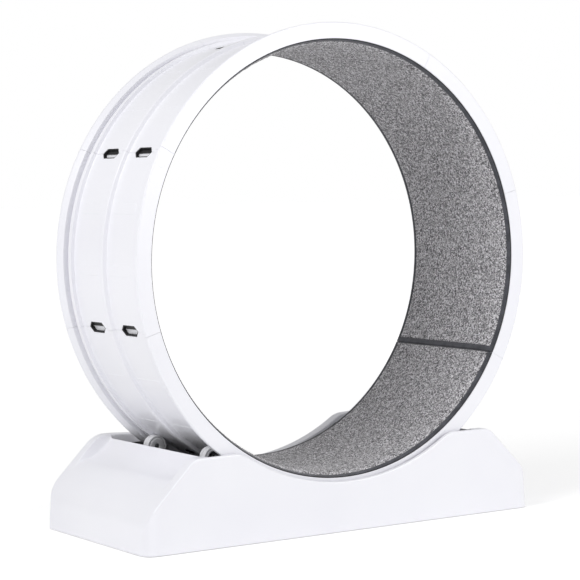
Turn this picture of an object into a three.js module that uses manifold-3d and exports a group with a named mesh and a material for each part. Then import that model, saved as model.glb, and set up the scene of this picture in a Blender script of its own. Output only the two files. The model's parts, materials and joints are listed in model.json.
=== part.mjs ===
// A cat exercise wheel: an open running wheel that lies on four small rollers in a moulded base.
// Millimetres, +Z up. The origin is on the floor under the middle of the base. The wheel's axis
// lies along Y and the front of the product faces -Y.
import * as THREE from "three";
import { mergeVertices } from "three/addons/utils/BufferGeometryUtils.js";
import Module from "manifold-3d";

const wasm = await Module();
wasm.setup();

// ---- Driving dimensions ----

// The running wheel
const WHEEL_RADIUS = 400;
const WHEEL_WIDTH = 280;
const WHEEL_OVER_FLOOR = 63;
const SEGMENT_COUNT = 8;
const SEAM_ANGLE = 16.3; // where the first seam lies, up from +X
const SEAM_GAP = 0.6;
const STEPS_PER_SEGMENT = 8;

// The rim's cross-section
const RIM_DEPTH = 27.7; // from the wheel's outer edge in to the seat that the mats lie on
const CHANNEL_OVER_SEAT = 10; // the floor of the two channels that the rollers run in
const GROOVE_OVER_SEAT = 5.2;
const RAIL_OVER_CHANNEL = 7.2;
const FLANGE_FLARE = 5.7; // how much lower the flange is beside the groove
const RIB_HALF_WIDTH = 8.8;
const FLANGE_WIDTH = 17.2;
const RAIL_WIDTH = 11;
const RAIL_DRAFT = 0.7;
const GROOVE_WIDTH = 7;
const RIM_ROUNDING = 4;
const SKIN = 3.2;
const END_BLOCK = 13; // solid plastic at each end of a segment, which holds the clips
const BAY_COUNT = 2; // hollow bays along a segment
const CROSS_RIB = 3;

// The clip windows at each seam, two side by side
const WINDOW_INWARD = 1.4; // from a channel's middle towards the rib
const WINDOW_LENGTH = 55.3;
const WINDOW_FLAT_LENGTH = 37;
const WINDOW_HEIGHT = 18.8;
const TONGUE_THICKNESS = 2.5;
const TONGUE_OVER_SEAT = 1;
const TONGUE_CLEARANCE = 0.5;
const CLIP_WALL = 1.8;
const CLIP_SINK = 0.5; // how far a clip lies under the channel's floor

// The two half-round carpet mats
const MAT_COUNT = 2;
const MAT_THICKNESS = 8.7;
const MAT_SIDE_INSET = 2;
const BINDING_WIDTH = 6.5;
const END_TAPE_WIDTH = 9.5; // the first mat's tape at its two ends
const TUCKED_TAPE_WIDTH = 2; // what shows of the second mat's, tucked under the first's
const BINDING_ROUNDING = 1.5;
const PILE_STANDS_OUT = 0.4; // the pile's height over the binding

// The rollers
const ROLLER_SPREAD = 36.6; // degrees either side of straight down
const ROLLER_FROM_RAIL = 10.8; // from a roller's middle to the rail's flank
const ROLLER_RADIUS = 18.4;
const ROLLER_WIDTH = 18;
const ROLLER_GAP = 0.3;
const TYRE_THICKNESS = 3.1;
const TYRE_GROOVE = 1.2;
const BEARING_RADIUS = 11;
const BEARING_WIDTH = 7;
const HUB_WEB = 2.5;
const HUB_HOLE_RADIUS = 4.75;
const AXLE_RADIUS = 4;
const AXLE_HEAD_RADIUS = 6.5;
const AXLE_HEAD_THICKNESS = 3;
const AXLE_END_SUNK = 1.5; // how far the axle's end lies inside the roller's face

// The roller brackets
const BRACKET_PLATE = 6;
const BRACKET_BOSS_RADIUS = 8.5;
const BRACKET_FOOT_LENGTH = 54;
const BRACKET_FOOT_DEPTH = 22;
const BRACKET_FOOT_HEIGHT = 5;
const BRACKET_GUSSET = 5;
const BRACKET_SIDE_GAP = 1; // between a roller and its bracket

// The base shell
const BASE_HEIGHT = 151.3;
const BASE_OVER_FLOOR = 1;
const BASE_SIDE_DRAFT = 3.5;
const BASE_CORNER_RADIUS = 22; // seen from above
const WHEEL_FROM_LIP = 5; // between the wheel's face and the front wall's lip
const WHEEL_FROM_BACK = 42; // between the wheel and the back wall
const ROLLER_FROM_WELL_END = 37.4; // from a roller's axis to the end of the well
const END_LENGTH = 122.5; // from the well to the end of the base
const END_DROP = 107.3; // from the top down to where the end starts to lean in
const BEVEL_FOOT_INSET = 26; // these insets are counted from the end of the base
const BEVEL_FOOT_DROP = 66.8;
const BEVEL_TOP_INSET = 84;
const BEVEL_TOP_DROP = 9.3;
const FLAT_TOP_INSET = 98;
const SADDLE_OVERLAP = 14; // how much smaller the saddle is than the wheel
const SADDLE_RISE = 9; // the saddle's centre lies this far over the wheel's centre
const SADDLE_CORNER = 26; // length of the rounded corner between the saddle and the flat top
const BASE_WALL = 22; // depth of the hollow front and back walls
const SADDLE_LIP = 9; // depth of the front wall where the wheel passes
const LIP_THICKNESS = 4.5;
const SHELL_SKIN = 3.5;
const EDGE_ROUNDING = 3;
const SCOOP_TOP_DROP = 1.3;
const SCOOP_HOLLOW = 7.3; // how far the end scoops are drawn in below a straight slope
const SHELL_RIB = 3;
const SHELL_RIB_COUNT = 4; // in each end
const TRAY_LEDGE_WIDTH = 12;
const TRAY_LEDGE_THICKNESS = 3;

// The tray in the base, and the feet
const TRAY_FLOOR = 2.5;
const TRAY_WALL = 2.5;
const TRAY_BELOW_RIM = 6;
const TRAY_BELOW_TOP = 13.3;
const WHEEL_CLEARANCE = 8; // between the wheel's rim and the tray
const FOOT_HEIGHT = 3;
const FOOT_RADIUS = 14;
const FOOT_STEM_RADIUS = 5;
const FOOT_STEM_LENGTH = 9;
const FOOT_BOSS_WALL = 5;
const FOOT_END_INSET = 59; // from the end of the base
const FOOT_SIDE_INSET = 41; // from the front and back of the base

const FIT = 0.3; // gap between pieces that touch

// ---- Sizes that follow from them ----

const SEGMENT_ANGLE = 360 / SEGMENT_COUNT;
const HALF_WIDTH = WHEEL_WIDTH / 2;
const WHEEL_CENTRE_HEIGHT = WHEEL_OVER_FLOOR + WHEEL_RADIUS;
const SEAT_RADIUS = WHEEL_RADIUS - RIM_DEPTH;
const CHANNEL_RADIUS = SEAT_RADIUS + CHANNEL_OVER_SEAT;
const GROOVE_RADIUS = SEAT_RADIUS + GROOVE_OVER_SEAT;
const RAIL_RADIUS = CHANNEL_RADIUS + RAIL_OVER_CHANNEL;
const FLANGE_LIP_RADIUS = WHEEL_RADIUS - FLANGE_FLARE;
const GROOVE_EDGE = HALF_WIDTH - FLANGE_WIDTH;
const RAIL_EDGE = GROOVE_EDGE - GROOVE_WIDTH;
const CHANNEL_EDGE = RAIL_EDGE - RAIL_WIDTH;
const WINDOW_CENTRE = (RIB_HALF_WIDTH + CHANNEL_EDGE) / 2 - WINDOW_INWARD;
const WINDOW_FLOOR_RADIUS = SEAT_RADIUS + TONGUE_OVER_SEAT + TONGUE_THICKNESS;
const MAT_BACK_RADIUS = SEAT_RADIUS - FIT;
const MAT_FRONT_RADIUS = MAT_BACK_RADIUS - MAT_THICKNESS;
const ROLLER_DISTANCE = CHANNEL_RADIUS + ROLLER_GAP + ROLLER_RADIUS;
const ROLLER_CENTRE = CHANNEL_EDGE - ROLLER_FROM_RAIL;
const ROLLER_ANGLE = THREE.MathUtils.degToRad(ROLLER_SPREAD);
const ROLLER_X = ROLLER_DISTANCE * Math.sin(ROLLER_ANGLE);
const ROLLER_HEIGHT = WHEEL_CENTRE_HEIGHT - ROLLER_DISTANCE * Math.cos(ROLLER_ANGLE);
const SHELL_BOTTOM = BASE_OVER_FLOOR;
const HALF_WELL = ROLLER_X + ROLLER_FROM_WELL_END;
const HALF_LENGTH = HALF_WELL + END_LENGTH;
const BASE_DEPTH = SADDLE_LIP + WHEEL_FROM_LIP + WHEEL_WIDTH + WHEEL_FROM_BACK + BASE_WALL;
const FRONT = -BASE_DEPTH / 2;
const BACK = BASE_DEPTH / 2;
const WHEEL_MIDDLE_Y = FRONT + SADDLE_LIP + WHEEL_FROM_LIP + HALF_WIDTH;
const SADDLE_RADIUS = WHEEL_RADIUS - SADDLE_OVERLAP;
const SADDLE_CENTRE_HEIGHT = WHEEL_CENTRE_HEIGHT + SADDLE_RISE;
const END_HEIGHT = BASE_HEIGHT - END_DROP;
const BEVEL_FOOT_HEIGHT = BASE_HEIGHT - BEVEL_FOOT_DROP;
const FOOT_X = HALF_LENGTH - FOOT_END_INSET;
const FOOT_Y = BACK - FOOT_SIDE_INSET;
const TRAY_BOTTOM = SHELL_BOTTOM + TRAY_LEDGE_THICKNESS + FIT;
const TRAY_INSIDE = TRAY_BOTTOM + TRAY_FLOOR;
const WELL_FRONT = FRONT + SADDLE_LIP;
const WELL_BACK = BACK - BASE_WALL;

// ---- Materials ----

const material = (color, roughness, metalness = 0) =>
  new THREE.MeshStandardMaterial({ color, roughness, metalness });
const whitePlastic = material(0xf3f3f8, 0.35);
const blackPlastic = material(0x17171a, 0.55);
const greyPile = material(0x858387, 1);
const darkBinding = material(0x45464e, 0.9);
const rollerNylon = material(0xd9d9dd, 0.45);
const tyreRubber = material(0xe6e6ea, 0.6);
const steel = material(0x8f9296, 0.35, 1);
const footRubber = material(0x222224, 0.9);

// ---- Solids ----

function solidFrom(geometry) {
  const bare = geometry.index ? geometry.toNonIndexed() : geometry.clone();
  bare.deleteAttribute("normal");
  bare.deleteAttribute("uv");
  const merged = mergeVertices(bare, 1e-3);
  const vertProperties = merged.attributes.position.array;
  const triVerts = new Uint32Array(merged.index.array);
  return new wasm.Manifold(new wasm.Mesh({ numProp: 3, vertProperties, triVerts }));
}

function geometryFrom(solid) {
  const { vertProperties, triVerts } = solid.getMesh();
  const geometry = new THREE.BufferGeometry();
  geometry.setAttribute("position", new THREE.BufferAttribute(vertProperties, 3));
  geometry.setIndex(new THREE.BufferAttribute(triVerts, 1));
  return geometry;
}

const joined = (solids) => solids.reduce((whole, solid) => whole.add(solid));

const cutBy = (solid, tools) => tools.reduce((rest, tool) => rest.subtract(tool), solid);

function meshOf(name, shape, surface) {
  const geometry = shape.isBufferGeometry ? shape : geometryFrom(shape);
  const mesh = new THREE.Mesh(geometry, surface);
  mesh.name = name;
  return mesh;
}

// A block between two corners.
function block([x0, y0, z0], [x1, y1, z1]) {
  const geometry = new THREE.BoxGeometry(x1 - x0, y1 - y0, z1 - z0);
  geometry.translate((x0 + x1) / 2, (y0 + y1) / 2, (z0 + z1) / 2);
  return solidFrom(geometry);
}

// An upright round post.
function post(x, y, radius, bottom, top, sides = 16) {
  const geometry = new THREE.CylinderGeometry(radius, radius, top - bottom, sides);
  geometry.rotateX(Math.PI / 2).translate(x, y, (bottom + top) / 2);
  return solidFrom(geometry);
}

// A solid whose outline is seen from the front, between two places along Y.
function slab(outline, fromY, toY, rounding = 0) {
  const geometry = new THREE.ExtrudeGeometry(new THREE.Shape(outline), {
    depth: toY - fromY - 2 * rounding,
    bevelEnabled: rounding > 0,
    bevelThickness: rounding,
    bevelSize: rounding,
    bevelOffset: -rounding,
    bevelSegments: 1,
  });
  geometry.rotateX(Math.PI / 2).translate(0, toY - rounding, 0);
  return solidFrom(geometry);
}

// A piece swept round the wheel's axis. The outline's points are (place across, radius),
// counter-clockwise, and the angles go up from +X.
function swept(outline, fromAngle, toAngle, steps) {
  const corners = outline.map(([across, radius]) => new THREE.Vector2(across, radius));
  const positions = [];
  for (let step = 0; step <= steps; step++) {
    const angle = THREE.MathUtils.degToRad(fromAngle + ((toAngle - fromAngle) * step) / steps);
    for (const corner of corners) {
      positions.push(corner.y * Math.cos(angle), corner.x, corner.y * Math.sin(angle));
    }
  }
  const count = corners.length;
  const faces = [];
  for (let step = 0; step < steps; step++) {
    for (let corner = 0; corner < count; corner++) {
      const here = step * count + corner;
      const beside = step * count + ((corner + 1) % count);
      faces.push(here, here + count, beside);
      faces.push(beside, here + count, beside + count);
    }
  }
  const last = steps * count;
  for (const [a, b, c] of THREE.ShapeUtils.triangulateShape(corners, [])) {
    faces.push(a, b, c);
    faces.push(last + a, last + c, last + b);
  }
  const geometry = new THREE.BufferGeometry();
  geometry.setAttribute("position", new THREE.Float32BufferAttribute(positions, 3));
  geometry.setIndex(faces);
  return solidFrom(geometry);
}

// A round piece about an axis along Y. The profile's points are (radius, place along Y).
function turned(profile, sides) {
  const points = profile.map(([radius, along]) => new THREE.Vector2(radius, along));
  return solidFrom(new THREE.LatheGeometry(points, sides));
}

// The same outline, drawn in by a distance. Its corners go counter-clockwise.
function drawnIn(outline, distance) {
  return outline.map((corner, index) => {
    const before = outline.at(index - 1);
    const after = outline[(index + 1) % outline.length];
    const arriving = corner.clone().sub(before).normalize();
    const leaving = after.clone().sub(corner).normalize();
    const inward = new THREE.Vector2(-arriving.y - leaving.y, arriving.x + leaving.x).normalize();
    const lean = inward.dot(new THREE.Vector2(-arriving.y, arriving.x));
    return corner.clone().addScaledVector(inward, distance / lean);
  });
}

// ---- The wheel's rim segments ----

// Both halves of a section from the points of its +Y half, listed from the wheel's face inward.
function mirroredSection(half) {
  const otherHalf = half.map(([across, radius]) => [-across, radius]).reverse();
  return [...half, ...otherHalf];
}

const rimSection = mirroredSection([
  [HALF_WIDTH, SEAT_RADIUS],
  [HALF_WIDTH, WHEEL_RADIUS - RIM_ROUNDING],
  [HALF_WIDTH - RIM_ROUNDING * 0.3, WHEEL_RADIUS - RIM_ROUNDING * 0.3],
  [HALF_WIDTH - RIM_ROUNDING, WHEEL_RADIUS],
  [GROOVE_EDGE + (HALF_WIDTH - GROOVE_EDGE) * 0.5, WHEEL_RADIUS - RIM_ROUNDING * 0.4],
  [GROOVE_EDGE, FLANGE_LIP_RADIUS],
  [GROOVE_EDGE - 0.5, GROOVE_RADIUS],
  [RAIL_EDGE, GROOVE_RADIUS],
  [RAIL_EDGE - RAIL_DRAFT, RAIL_RADIUS],
  [CHANNEL_EDGE + RAIL_DRAFT, RAIL_RADIUS],
  [CHANNEL_EDGE, CHANNEL_RADIUS],
  [RIB_HALF_WIDTH, CHANNEL_RADIUS],
  [RIB_HALF_WIDTH - 2.2, RAIL_RADIUS - 1.2],
  [RIB_HALF_WIDTH - 4, RAIL_RADIUS],
]);

const belowSeat = SEAT_RADIUS - 2;

const channelBay = (side) => {
  const inner = RIB_HALF_WIDTH + SKIN;
  const outer = CHANNEL_EDGE - SKIN;
  const [from, to] = side > 0 ? [inner, outer] : [-outer, -inner];
  const top = CHANNEL_RADIUS - SKIN;
  return [
    [from, belowSeat],
    [to, belowSeat],
    [to, top],
    [from, top],
  ];
};

const flangeBay = (side) => {
  const inner = GROOVE_EDGE + SKIN;
  const outer = HALF_WIDTH - SKIN;
  const points = [
    [inner, belowSeat],
    [outer, belowSeat],
    [outer, WHEEL_RADIUS - RIM_ROUNDING - SKIN * 0.3],
    [inner, FLANGE_LIP_RADIUS - SKIN * 0.8],
  ];
  return side > 0 ? points : points.map(([across, radius]) => [-across, radius]).reverse();
};

// The frame of a seam: across the wheel, onward round the rim, and out from the axis.
function atSeam(geometry, angle) {
  const turn = THREE.MathUtils.degToRad(angle);
  const outward = new THREE.Vector3(Math.cos(turn), 0, Math.sin(turn));
  const onward = new THREE.Vector3(-Math.sin(turn), 0, Math.cos(turn));
  const across = new THREE.Vector3(0, 1, 0);
  return geometry.applyMatrix4(new THREE.Matrix4().makeBasis(across, onward, outward));
}

// The six-cornered outline of a window about its middle: across the wheel, onward round it.
const windowOutline = (() => {
  const tip = WINDOW_LENGTH / 2;
  const flat = WINDOW_FLAT_LENGTH / 2;
  const half = WINDOW_HEIGHT / 2;
  return [
    new THREE.Vector2(-tip, 0),
    new THREE.Vector2(-flat, -half),
    new THREE.Vector2(flat, -half),
    new THREE.Vector2(tip, 0),
    new THREE.Vector2(flat, half),
    new THREE.Vector2(-flat, half),
  ];
})();

const shifted = (outline, across) =>
  outline.map((corner) => new THREE.Vector2(corner.x + across, corner.y));

// An outline raised from one radius to another at a seam.
function raised(outline, hole, fromRadius, toRadius, angle) {
  const shape = new THREE.Shape(outline);
  if (hole) shape.holes.push(new THREE.Path(hole));
  const depth = toRadius - fromRadius;
  const geometry = new THREE.ExtrudeGeometry(shape, { depth, bevelEnabled: false });
  return atSeam(geometry.translate(0, 0, fromRadius), angle);
}

const windowCentres = [-WINDOW_CENTRE, WINDOW_CENTRE];

// The tongue that reaches over the seam, under the next segment's half of the window.
function tongue(centre, angle) {
  const [, , , tip, farRight, farLeft] = drawnIn(windowOutline, TONGUE_CLEARANCE);
  const root = -2;
  const outline = [
    new THREE.Vector2(-tip.x, root),
    new THREE.Vector2(tip.x, root),
    tip,
    farRight,
    farLeft,
    new THREE.Vector2(-tip.x, 0),
  ];
  const top = WINDOW_FLOOR_RADIUS;
  return solidFrom(raised(shifted(outline, centre), null, top - TONGUE_THICKNESS, top, angle));
}

// The end of a segment keeps half the seam's gap, measured square to the seam.
function seamSlit(angle) {
  const reach = WHEEL_RADIUS + 10;
  const geometry = new THREE.BoxGeometry(WHEEL_WIDTH + 20, SEAM_GAP, reach);
  return solidFrom(atSeam(geometry.translate(0, 0, reach / 2), angle));
}

function segment(index) {
  const start = SEAM_ANGLE + index * SEGMENT_ANGLE;
  const end = start + SEGMENT_ANGLE;
  const degrees = (length) => THREE.MathUtils.radToDeg(length / SEAT_RADIUS);
  const bayStart = start + degrees(END_BLOCK);
  const bayPitch = (SEGMENT_ANGLE - 2 * degrees(END_BLOCK) + degrees(CROSS_RIB)) / BAY_COUNT;
  const bays = [];
  for (let bay = 0; bay < BAY_COUNT; bay++) {
    const from = bayStart + bay * bayPitch;
    const to = from + bayPitch - degrees(CROSS_RIB);
    for (const side of [-1, 1]) {
      bays.push(swept(channelBay(side), from, to, 2));
      bays.push(swept(flangeBay(side), from, to, 2));
    }
  }
  const top = RAIL_RADIUS + 1;
  const throughWindows = windowCentres.map((centre) =>
    solidFrom(raised(shifted(windowOutline, centre), null, belowSeat, top, start)),
  );
  const blindWindows = windowCentres.map((centre) =>
    solidFrom(raised(shifted(windowOutline, centre), null, WINDOW_FLOOR_RADIUS, top, end)),
  );
  const slits = [seamSlit(start), seamSlit(end)];
  const rim = swept(rimSection, start, end, STEPS_PER_SEGMENT);
  const body = cutBy(rim, [...bays, ...throughWindows, ...blindWindows, ...slits]);
  return joined([body, ...windowCentres.map((centre) => tongue(centre, end))]);
}

// The black clip that fills a window's edge and ties two segments together.
function clip(centre, angle) {
  const outside = shifted(drawnIn(windowOutline, FIT), centre);
  const inside = shifted(drawnIn(windowOutline, FIT + CLIP_WALL), centre);
  const bottom = WINDOW_FLOOR_RADIUS + FIT;
  return raised(outside, inside, bottom, CHANNEL_RADIUS - CLIP_SINK, angle);
}

// ---- The mats ----

function matSection(halfWidth, front, back, rounding) {
  return [
    [-halfWidth + rounding, front],
    [halfWidth - rounding, front],
    [halfWidth, front + rounding],
    [halfWidth, back],
    [-halfWidth, back],
    [-halfWidth, front + rounding],
  ];
}

const matHalfWidth = HALF_WIDTH - MAT_SIDE_INSET;
const pileHalfWidth = matHalfWidth - BINDING_WIDTH;
const matDegrees = (length) => THREE.MathUtils.radToDeg(length / MAT_BACK_RADIUS);

// The steps of a mat fall on those of the rim, so that the gap between them stays even.
function matSpan(index) {
  const from = SEAM_ANGLE - SEGMENT_ANGLE + (index * 360) / MAT_COUNT;
  return [from, from + 360 / MAT_COUNT, (STEPS_PER_SEGMENT * SEGMENT_COUNT) / MAT_COUNT];
}

// A whole mat's space, cut back at both ends by a distance along the rim.
function matSolid(index, halfWidth, front, rounding, endCut) {
  const [from, to, steps] = matSpan(index);
  const section = matSection(halfWidth, front, MAT_BACK_RADIUS, rounding);
  const whole = swept(section, from, to, steps);
  const reach = WHEEL_RADIUS;
  const ends = [from, to].map((angle) => {
    const geometry = new THREE.BoxGeometry(WHEEL_WIDTH, 2 * endCut, reach);
    return solidFrom(atSeam(geometry.translate(0, 0, reach / 2), angle));
  });
  return cutBy(whole, ends);
}

const endTapeWidth = (index) => (index === 0 ? END_TAPE_WIDTH : TUCKED_TAPE_WIDTH);

const pile = (index) =>
  matSolid(
    index,
    pileHalfWidth - FIT,
    MAT_FRONT_RADIUS - PILE_STANDS_OUT,
    BINDING_ROUNDING,
    SEAM_GAP / 2 + endTapeWidth(index) + FIT,
  );

function binding(index) {
  const whole = matSolid(index, matHalfWidth, MAT_FRONT_RADIUS, BINDING_ROUNDING, SEAM_GAP / 2);
  const [from, to, steps] = matSpan(index);
  const inside = [
    [-pileHalfWidth, MAT_FRONT_RADIUS - 5],
    [pileHalfWidth, MAT_FRONT_RADIUS - 5],
    [pileHalfWidth, MAT_BACK_RADIUS + 5],
    [-pileHalfWidth, MAT_BACK_RADIUS + 5],
  ];
  const endWidth = matDegrees(SEAM_GAP / 2 + endTapeWidth(index));
  return whole.subtract(swept(inside, from + endWidth, to - endWidth, steps));
}

// ---- The rollers and their brackets ----

// Each is drawn about its own axis, with its inner face towards -Y and its bracket towards +Y.
const halfRoller = ROLLER_WIDTH / 2;
const hubRadius = ROLLER_RADIUS - TYRE_THICKNESS;
const bearingSeat = BEARING_RADIUS + FIT;
const bearingFrom = -halfRoller + HUB_WEB + FIT;

const rollerHub = turned(
  [
    [HUB_HOLE_RADIUS, -halfRoller],
    [hubRadius - FIT - 1, -halfRoller],
    [hubRadius - FIT, -halfRoller + 1],
    [hubRadius - FIT, halfRoller - 1],
    [hubRadius - FIT - 1, halfRoller],
    [bearingSeat, halfRoller],
    [bearingSeat, -halfRoller + HUB_WEB],
    [HUB_HOLE_RADIUS, -halfRoller + HUB_WEB],
    [HUB_HOLE_RADIUS, -halfRoller],
  ],
  24,
);

const rimBand = ROLLER_WIDTH * 0.3;
const rollerTyre = turned(
  [
    [hubRadius, -halfRoller + 0.5],
    [ROLLER_RADIUS, -halfRoller + 0.5],
    [ROLLER_RADIUS, -halfRoller + rimBand],
    [ROLLER_RADIUS - TYRE_GROOVE, -halfRoller + rimBand + 1],
    [ROLLER_RADIUS - TYRE_GROOVE, halfRoller - rimBand - 1],
    [ROLLER_RADIUS, halfRoller - rimBand],
    [ROLLER_RADIUS, halfRoller - 0.5],
    [hubRadius, halfRoller - 0.5],
    [hubRadius, -halfRoller + 0.5],
  ],
  28,
);

const rollerBearing = turned(
  [
    [AXLE_RADIUS + FIT, bearingFrom],
    [BEARING_RADIUS, bearingFrom],
    [BEARING_RADIUS, bearingFrom + BEARING_WIDTH],
    [AXLE_RADIUS + FIT, bearingFrom + BEARING_WIDTH],
    [AXLE_RADIUS + FIT, bearingFrom],
  ],
  20,
);

const plateFrom = halfRoller + BRACKET_SIDE_GAP;
const plateTo = plateFrom + BRACKET_PLATE;
const footTo = plateFrom + BRACKET_FOOT_DEPTH;
const bracketBottom = TRAY_INSIDE + FIT - ROLLER_HEIGHT;

const rollerAxle = turned(
  [
    [0, -halfRoller + AXLE_END_SUNK],
    [AXLE_RADIUS - 0.6, -halfRoller + AXLE_END_SUNK],
    [AXLE_RADIUS, -halfRoller + AXLE_END_SUNK + 0.6],
    [AXLE_RADIUS, plateTo + FIT],
    [AXLE_HEAD_RADIUS, plateTo + FIT],
    [AXLE_HEAD_RADIUS, plateTo + FIT + AXLE_HEAD_THICKNESS],
    [0, plateTo + FIT + AXLE_HEAD_THICKNESS],
  ],
  16,
);

const bracket = (() => {
  const footHalf = BRACKET_FOOT_LENGTH / 2;
  const plate = new THREE.Shape();
  plate.moveTo(-footHalf, bracketBottom);
  plate.lineTo(footHalf, bracketBottom);
  plate.lineTo(footHalf, bracketBottom + BRACKET_FOOT_HEIGHT);
  plate.lineTo(BRACKET_BOSS_RADIUS, 0);
  plate.absarc(0, 0, BRACKET_BOSS_RADIUS, 0, Math.PI, false);
  plate.lineTo(-footHalf, bracketBottom + BRACKET_FOOT_HEIGHT);
  const upright = slab(plate.getPoints(8), plateFrom, plateTo);
  const foot = block(
    [-footHalf, plateFrom, bracketBottom],
    [footHalf, footTo, bracketBottom + BRACKET_FOOT_HEIGHT],
  );
  // The gusset is drawn in its own plane and turned to stand across the plate.
  const gussetTop = -AXLE_HEAD_RADIUS - 6;
  const gussetOutline = new THREE.Shape();
  gussetOutline.moveTo(plateTo - 1, bracketBottom);
  gussetOutline.lineTo(footTo, bracketBottom);
  gussetOutline.lineTo(footTo, bracketBottom + BRACKET_FOOT_HEIGHT);
  gussetOutline.lineTo(plateTo + 2, gussetTop);
  gussetOutline.lineTo(plateTo - 1, gussetTop);
  const gussetAt = (x) => {
    const geometry = new THREE.ExtrudeGeometry(gussetOutline, {
      depth: BRACKET_GUSSET,
      bevelEnabled: false,
    });
    const standing = new THREE.Matrix4().makeBasis(
      new THREE.Vector3(0, 1, 0),
      new THREE.Vector3(0, 0, 1),
      new THREE.Vector3(1, 0, 0),
    );
    geometry.applyMatrix4(standing).translate(x - BRACKET_GUSSET / 2, 0, 0);
    return solidFrom(geometry);
  };
  const boreGeometry = new THREE.CylinderGeometry(
    AXLE_RADIUS + FIT,
    AXLE_RADIUS + FIT,
    BRACKET_PLATE + 4,
    16,
  );
  const bore = solidFrom(boreGeometry.translate(0, (plateFrom + plateTo) / 2, 0));
  return joined([upright, foot, gussetAt(0)]).subtract(bore);
})();

// ---- The base ----

// Outlines of the base run on below it and are cut off flat at its bottom.
const BELOW = SHELL_BOTTOM - 20;

// The outer end of the base from below up to the foot of its bevel, seen from the front.
function endOfBase() {
  const path = new THREE.Path();
  path.moveTo(HALF_LENGTH, BELOW);
  path.lineTo(HALF_LENGTH, SHELL_BOTTOM);
  path.lineTo(HALF_LENGTH - BASE_SIDE_DRAFT, END_HEIGHT);
  path.quadraticCurveTo(
    HALF_LENGTH - BASE_SIDE_DRAFT - 2.5,
    (END_HEIGHT + BEVEL_FOOT_HEIGHT) / 2,
    HALF_LENGTH - BEVEL_FOOT_INSET,
    BEVEL_FOOT_HEIGHT,
  );
  return path;
}

// The outline of the front and back walls, seen from the front, counter-clockwise.
const wallOutline = (() => {
  const half = endOfBase();
  half.lineTo(HALF_LENGTH - BEVEL_TOP_INSET, BASE_HEIGHT - BEVEL_TOP_DROP);
  half.quadraticCurveTo(
    HALF_LENGTH - BEVEL_TOP_INSET - 8,
    BASE_HEIGHT - 1.8,
    HALF_LENGTH - FLAT_TOP_INSET,
    BASE_HEIGHT - 1,
  );
  const drop = SADDLE_CENTRE_HEIGHT - BASE_HEIGHT;
  const saddleEdge = Math.sqrt(SADDLE_RADIUS ** 2 - drop ** 2);
  const cornerAngle = Math.atan2(saddleEdge, drop) - SADDLE_CORNER / 2 / SADDLE_RADIUS;
  const arcX = SADDLE_RADIUS * Math.sin(cornerAngle);
  const arcHeight = SADDLE_CENTRE_HEIGHT - SADDLE_RADIUS * Math.cos(cornerAngle);
  half.lineTo(saddleEdge + SADDLE_CORNER / 2, BASE_HEIGHT);
  half.quadraticCurveTo(saddleEdge, BASE_HEIGHT, arcX, arcHeight);
  const corners = half.getPoints(3).slice(0, -1);
  const arcSteps = 7;
  for (let step = 0; step < arcSteps; step++) {
    const angle = cornerAngle * (1 - step / arcSteps);
    corners.push(
      new THREE.Vector2(
        SADDLE_RADIUS * Math.sin(angle),
        SADDLE_CENTRE_HEIGHT - SADDLE_RADIUS * Math.cos(angle),
      ),
    );
  }
  const middle = new THREE.Vector2(0, SADDLE_CENTRE_HEIGHT - SADDLE_RADIUS);
  const mirrored = corners.map((corner) => new THREE.Vector2(-corner.x, corner.y)).reverse();
  return [...corners, middle, ...mirrored];
})();

// One end of the base below its scoop, between the well and the outer end.
function endOutline(side) {
  const footX = HALF_LENGTH - BEVEL_FOOT_INSET;
  const topHeight = BASE_HEIGHT - SCOOP_TOP_DROP;
  const scoop = endOfBase();
  scoop.quadraticCurveTo(
    (footX + HALF_WELL) / 2 + SCOOP_HOLLOW / 2,
    (BEVEL_FOOT_HEIGHT + topHeight) / 2 - SCOOP_HOLLOW,
    HALF_WELL,
    topHeight,
  );
  scoop.lineTo(HALF_WELL, BELOW);
  const corners = scoop.getPoints(3);
  return side > 0
    ? corners
    : corners.map((corner) => new THREE.Vector2(-corner.x, corner.y)).reverse();
}

// The base's space seen from above, with its round corners, drawn in by a skin.
function planBlock(skin, bottom) {
  const x = HALF_LENGTH - skin;
  const y = BACK - skin;
  const radius = BASE_CORNER_RADIUS - skin;
  const plan = new THREE.Shape();
  plan.absarc(x - radius, y - radius, radius, 0, Math.PI / 2, false);
  plan.absarc(-x + radius, y - radius, radius, Math.PI / 2, Math.PI, false);
  plan.absarc(-x + radius, -y + radius, radius, Math.PI, Math.PI * 1.5, false);
  plan.absarc(x - radius, -y + radius, radius, Math.PI * 1.5, Math.PI * 2, false);
  const geometry = new THREE.ExtrudeGeometry(plan, {
    depth: 2 * BASE_HEIGHT,
    bevelEnabled: false,
    curveSegments: 6,
  });
  return solidFrom(geometry.translate(0, 0, bottom));
}

const footPlaces = [
  [-FOOT_X, -FOOT_Y],
  [FOOT_X, -FOOT_Y],
  [-FOOT_X, FOOT_Y],
  [FOOT_X, FOOT_Y],
];

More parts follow.
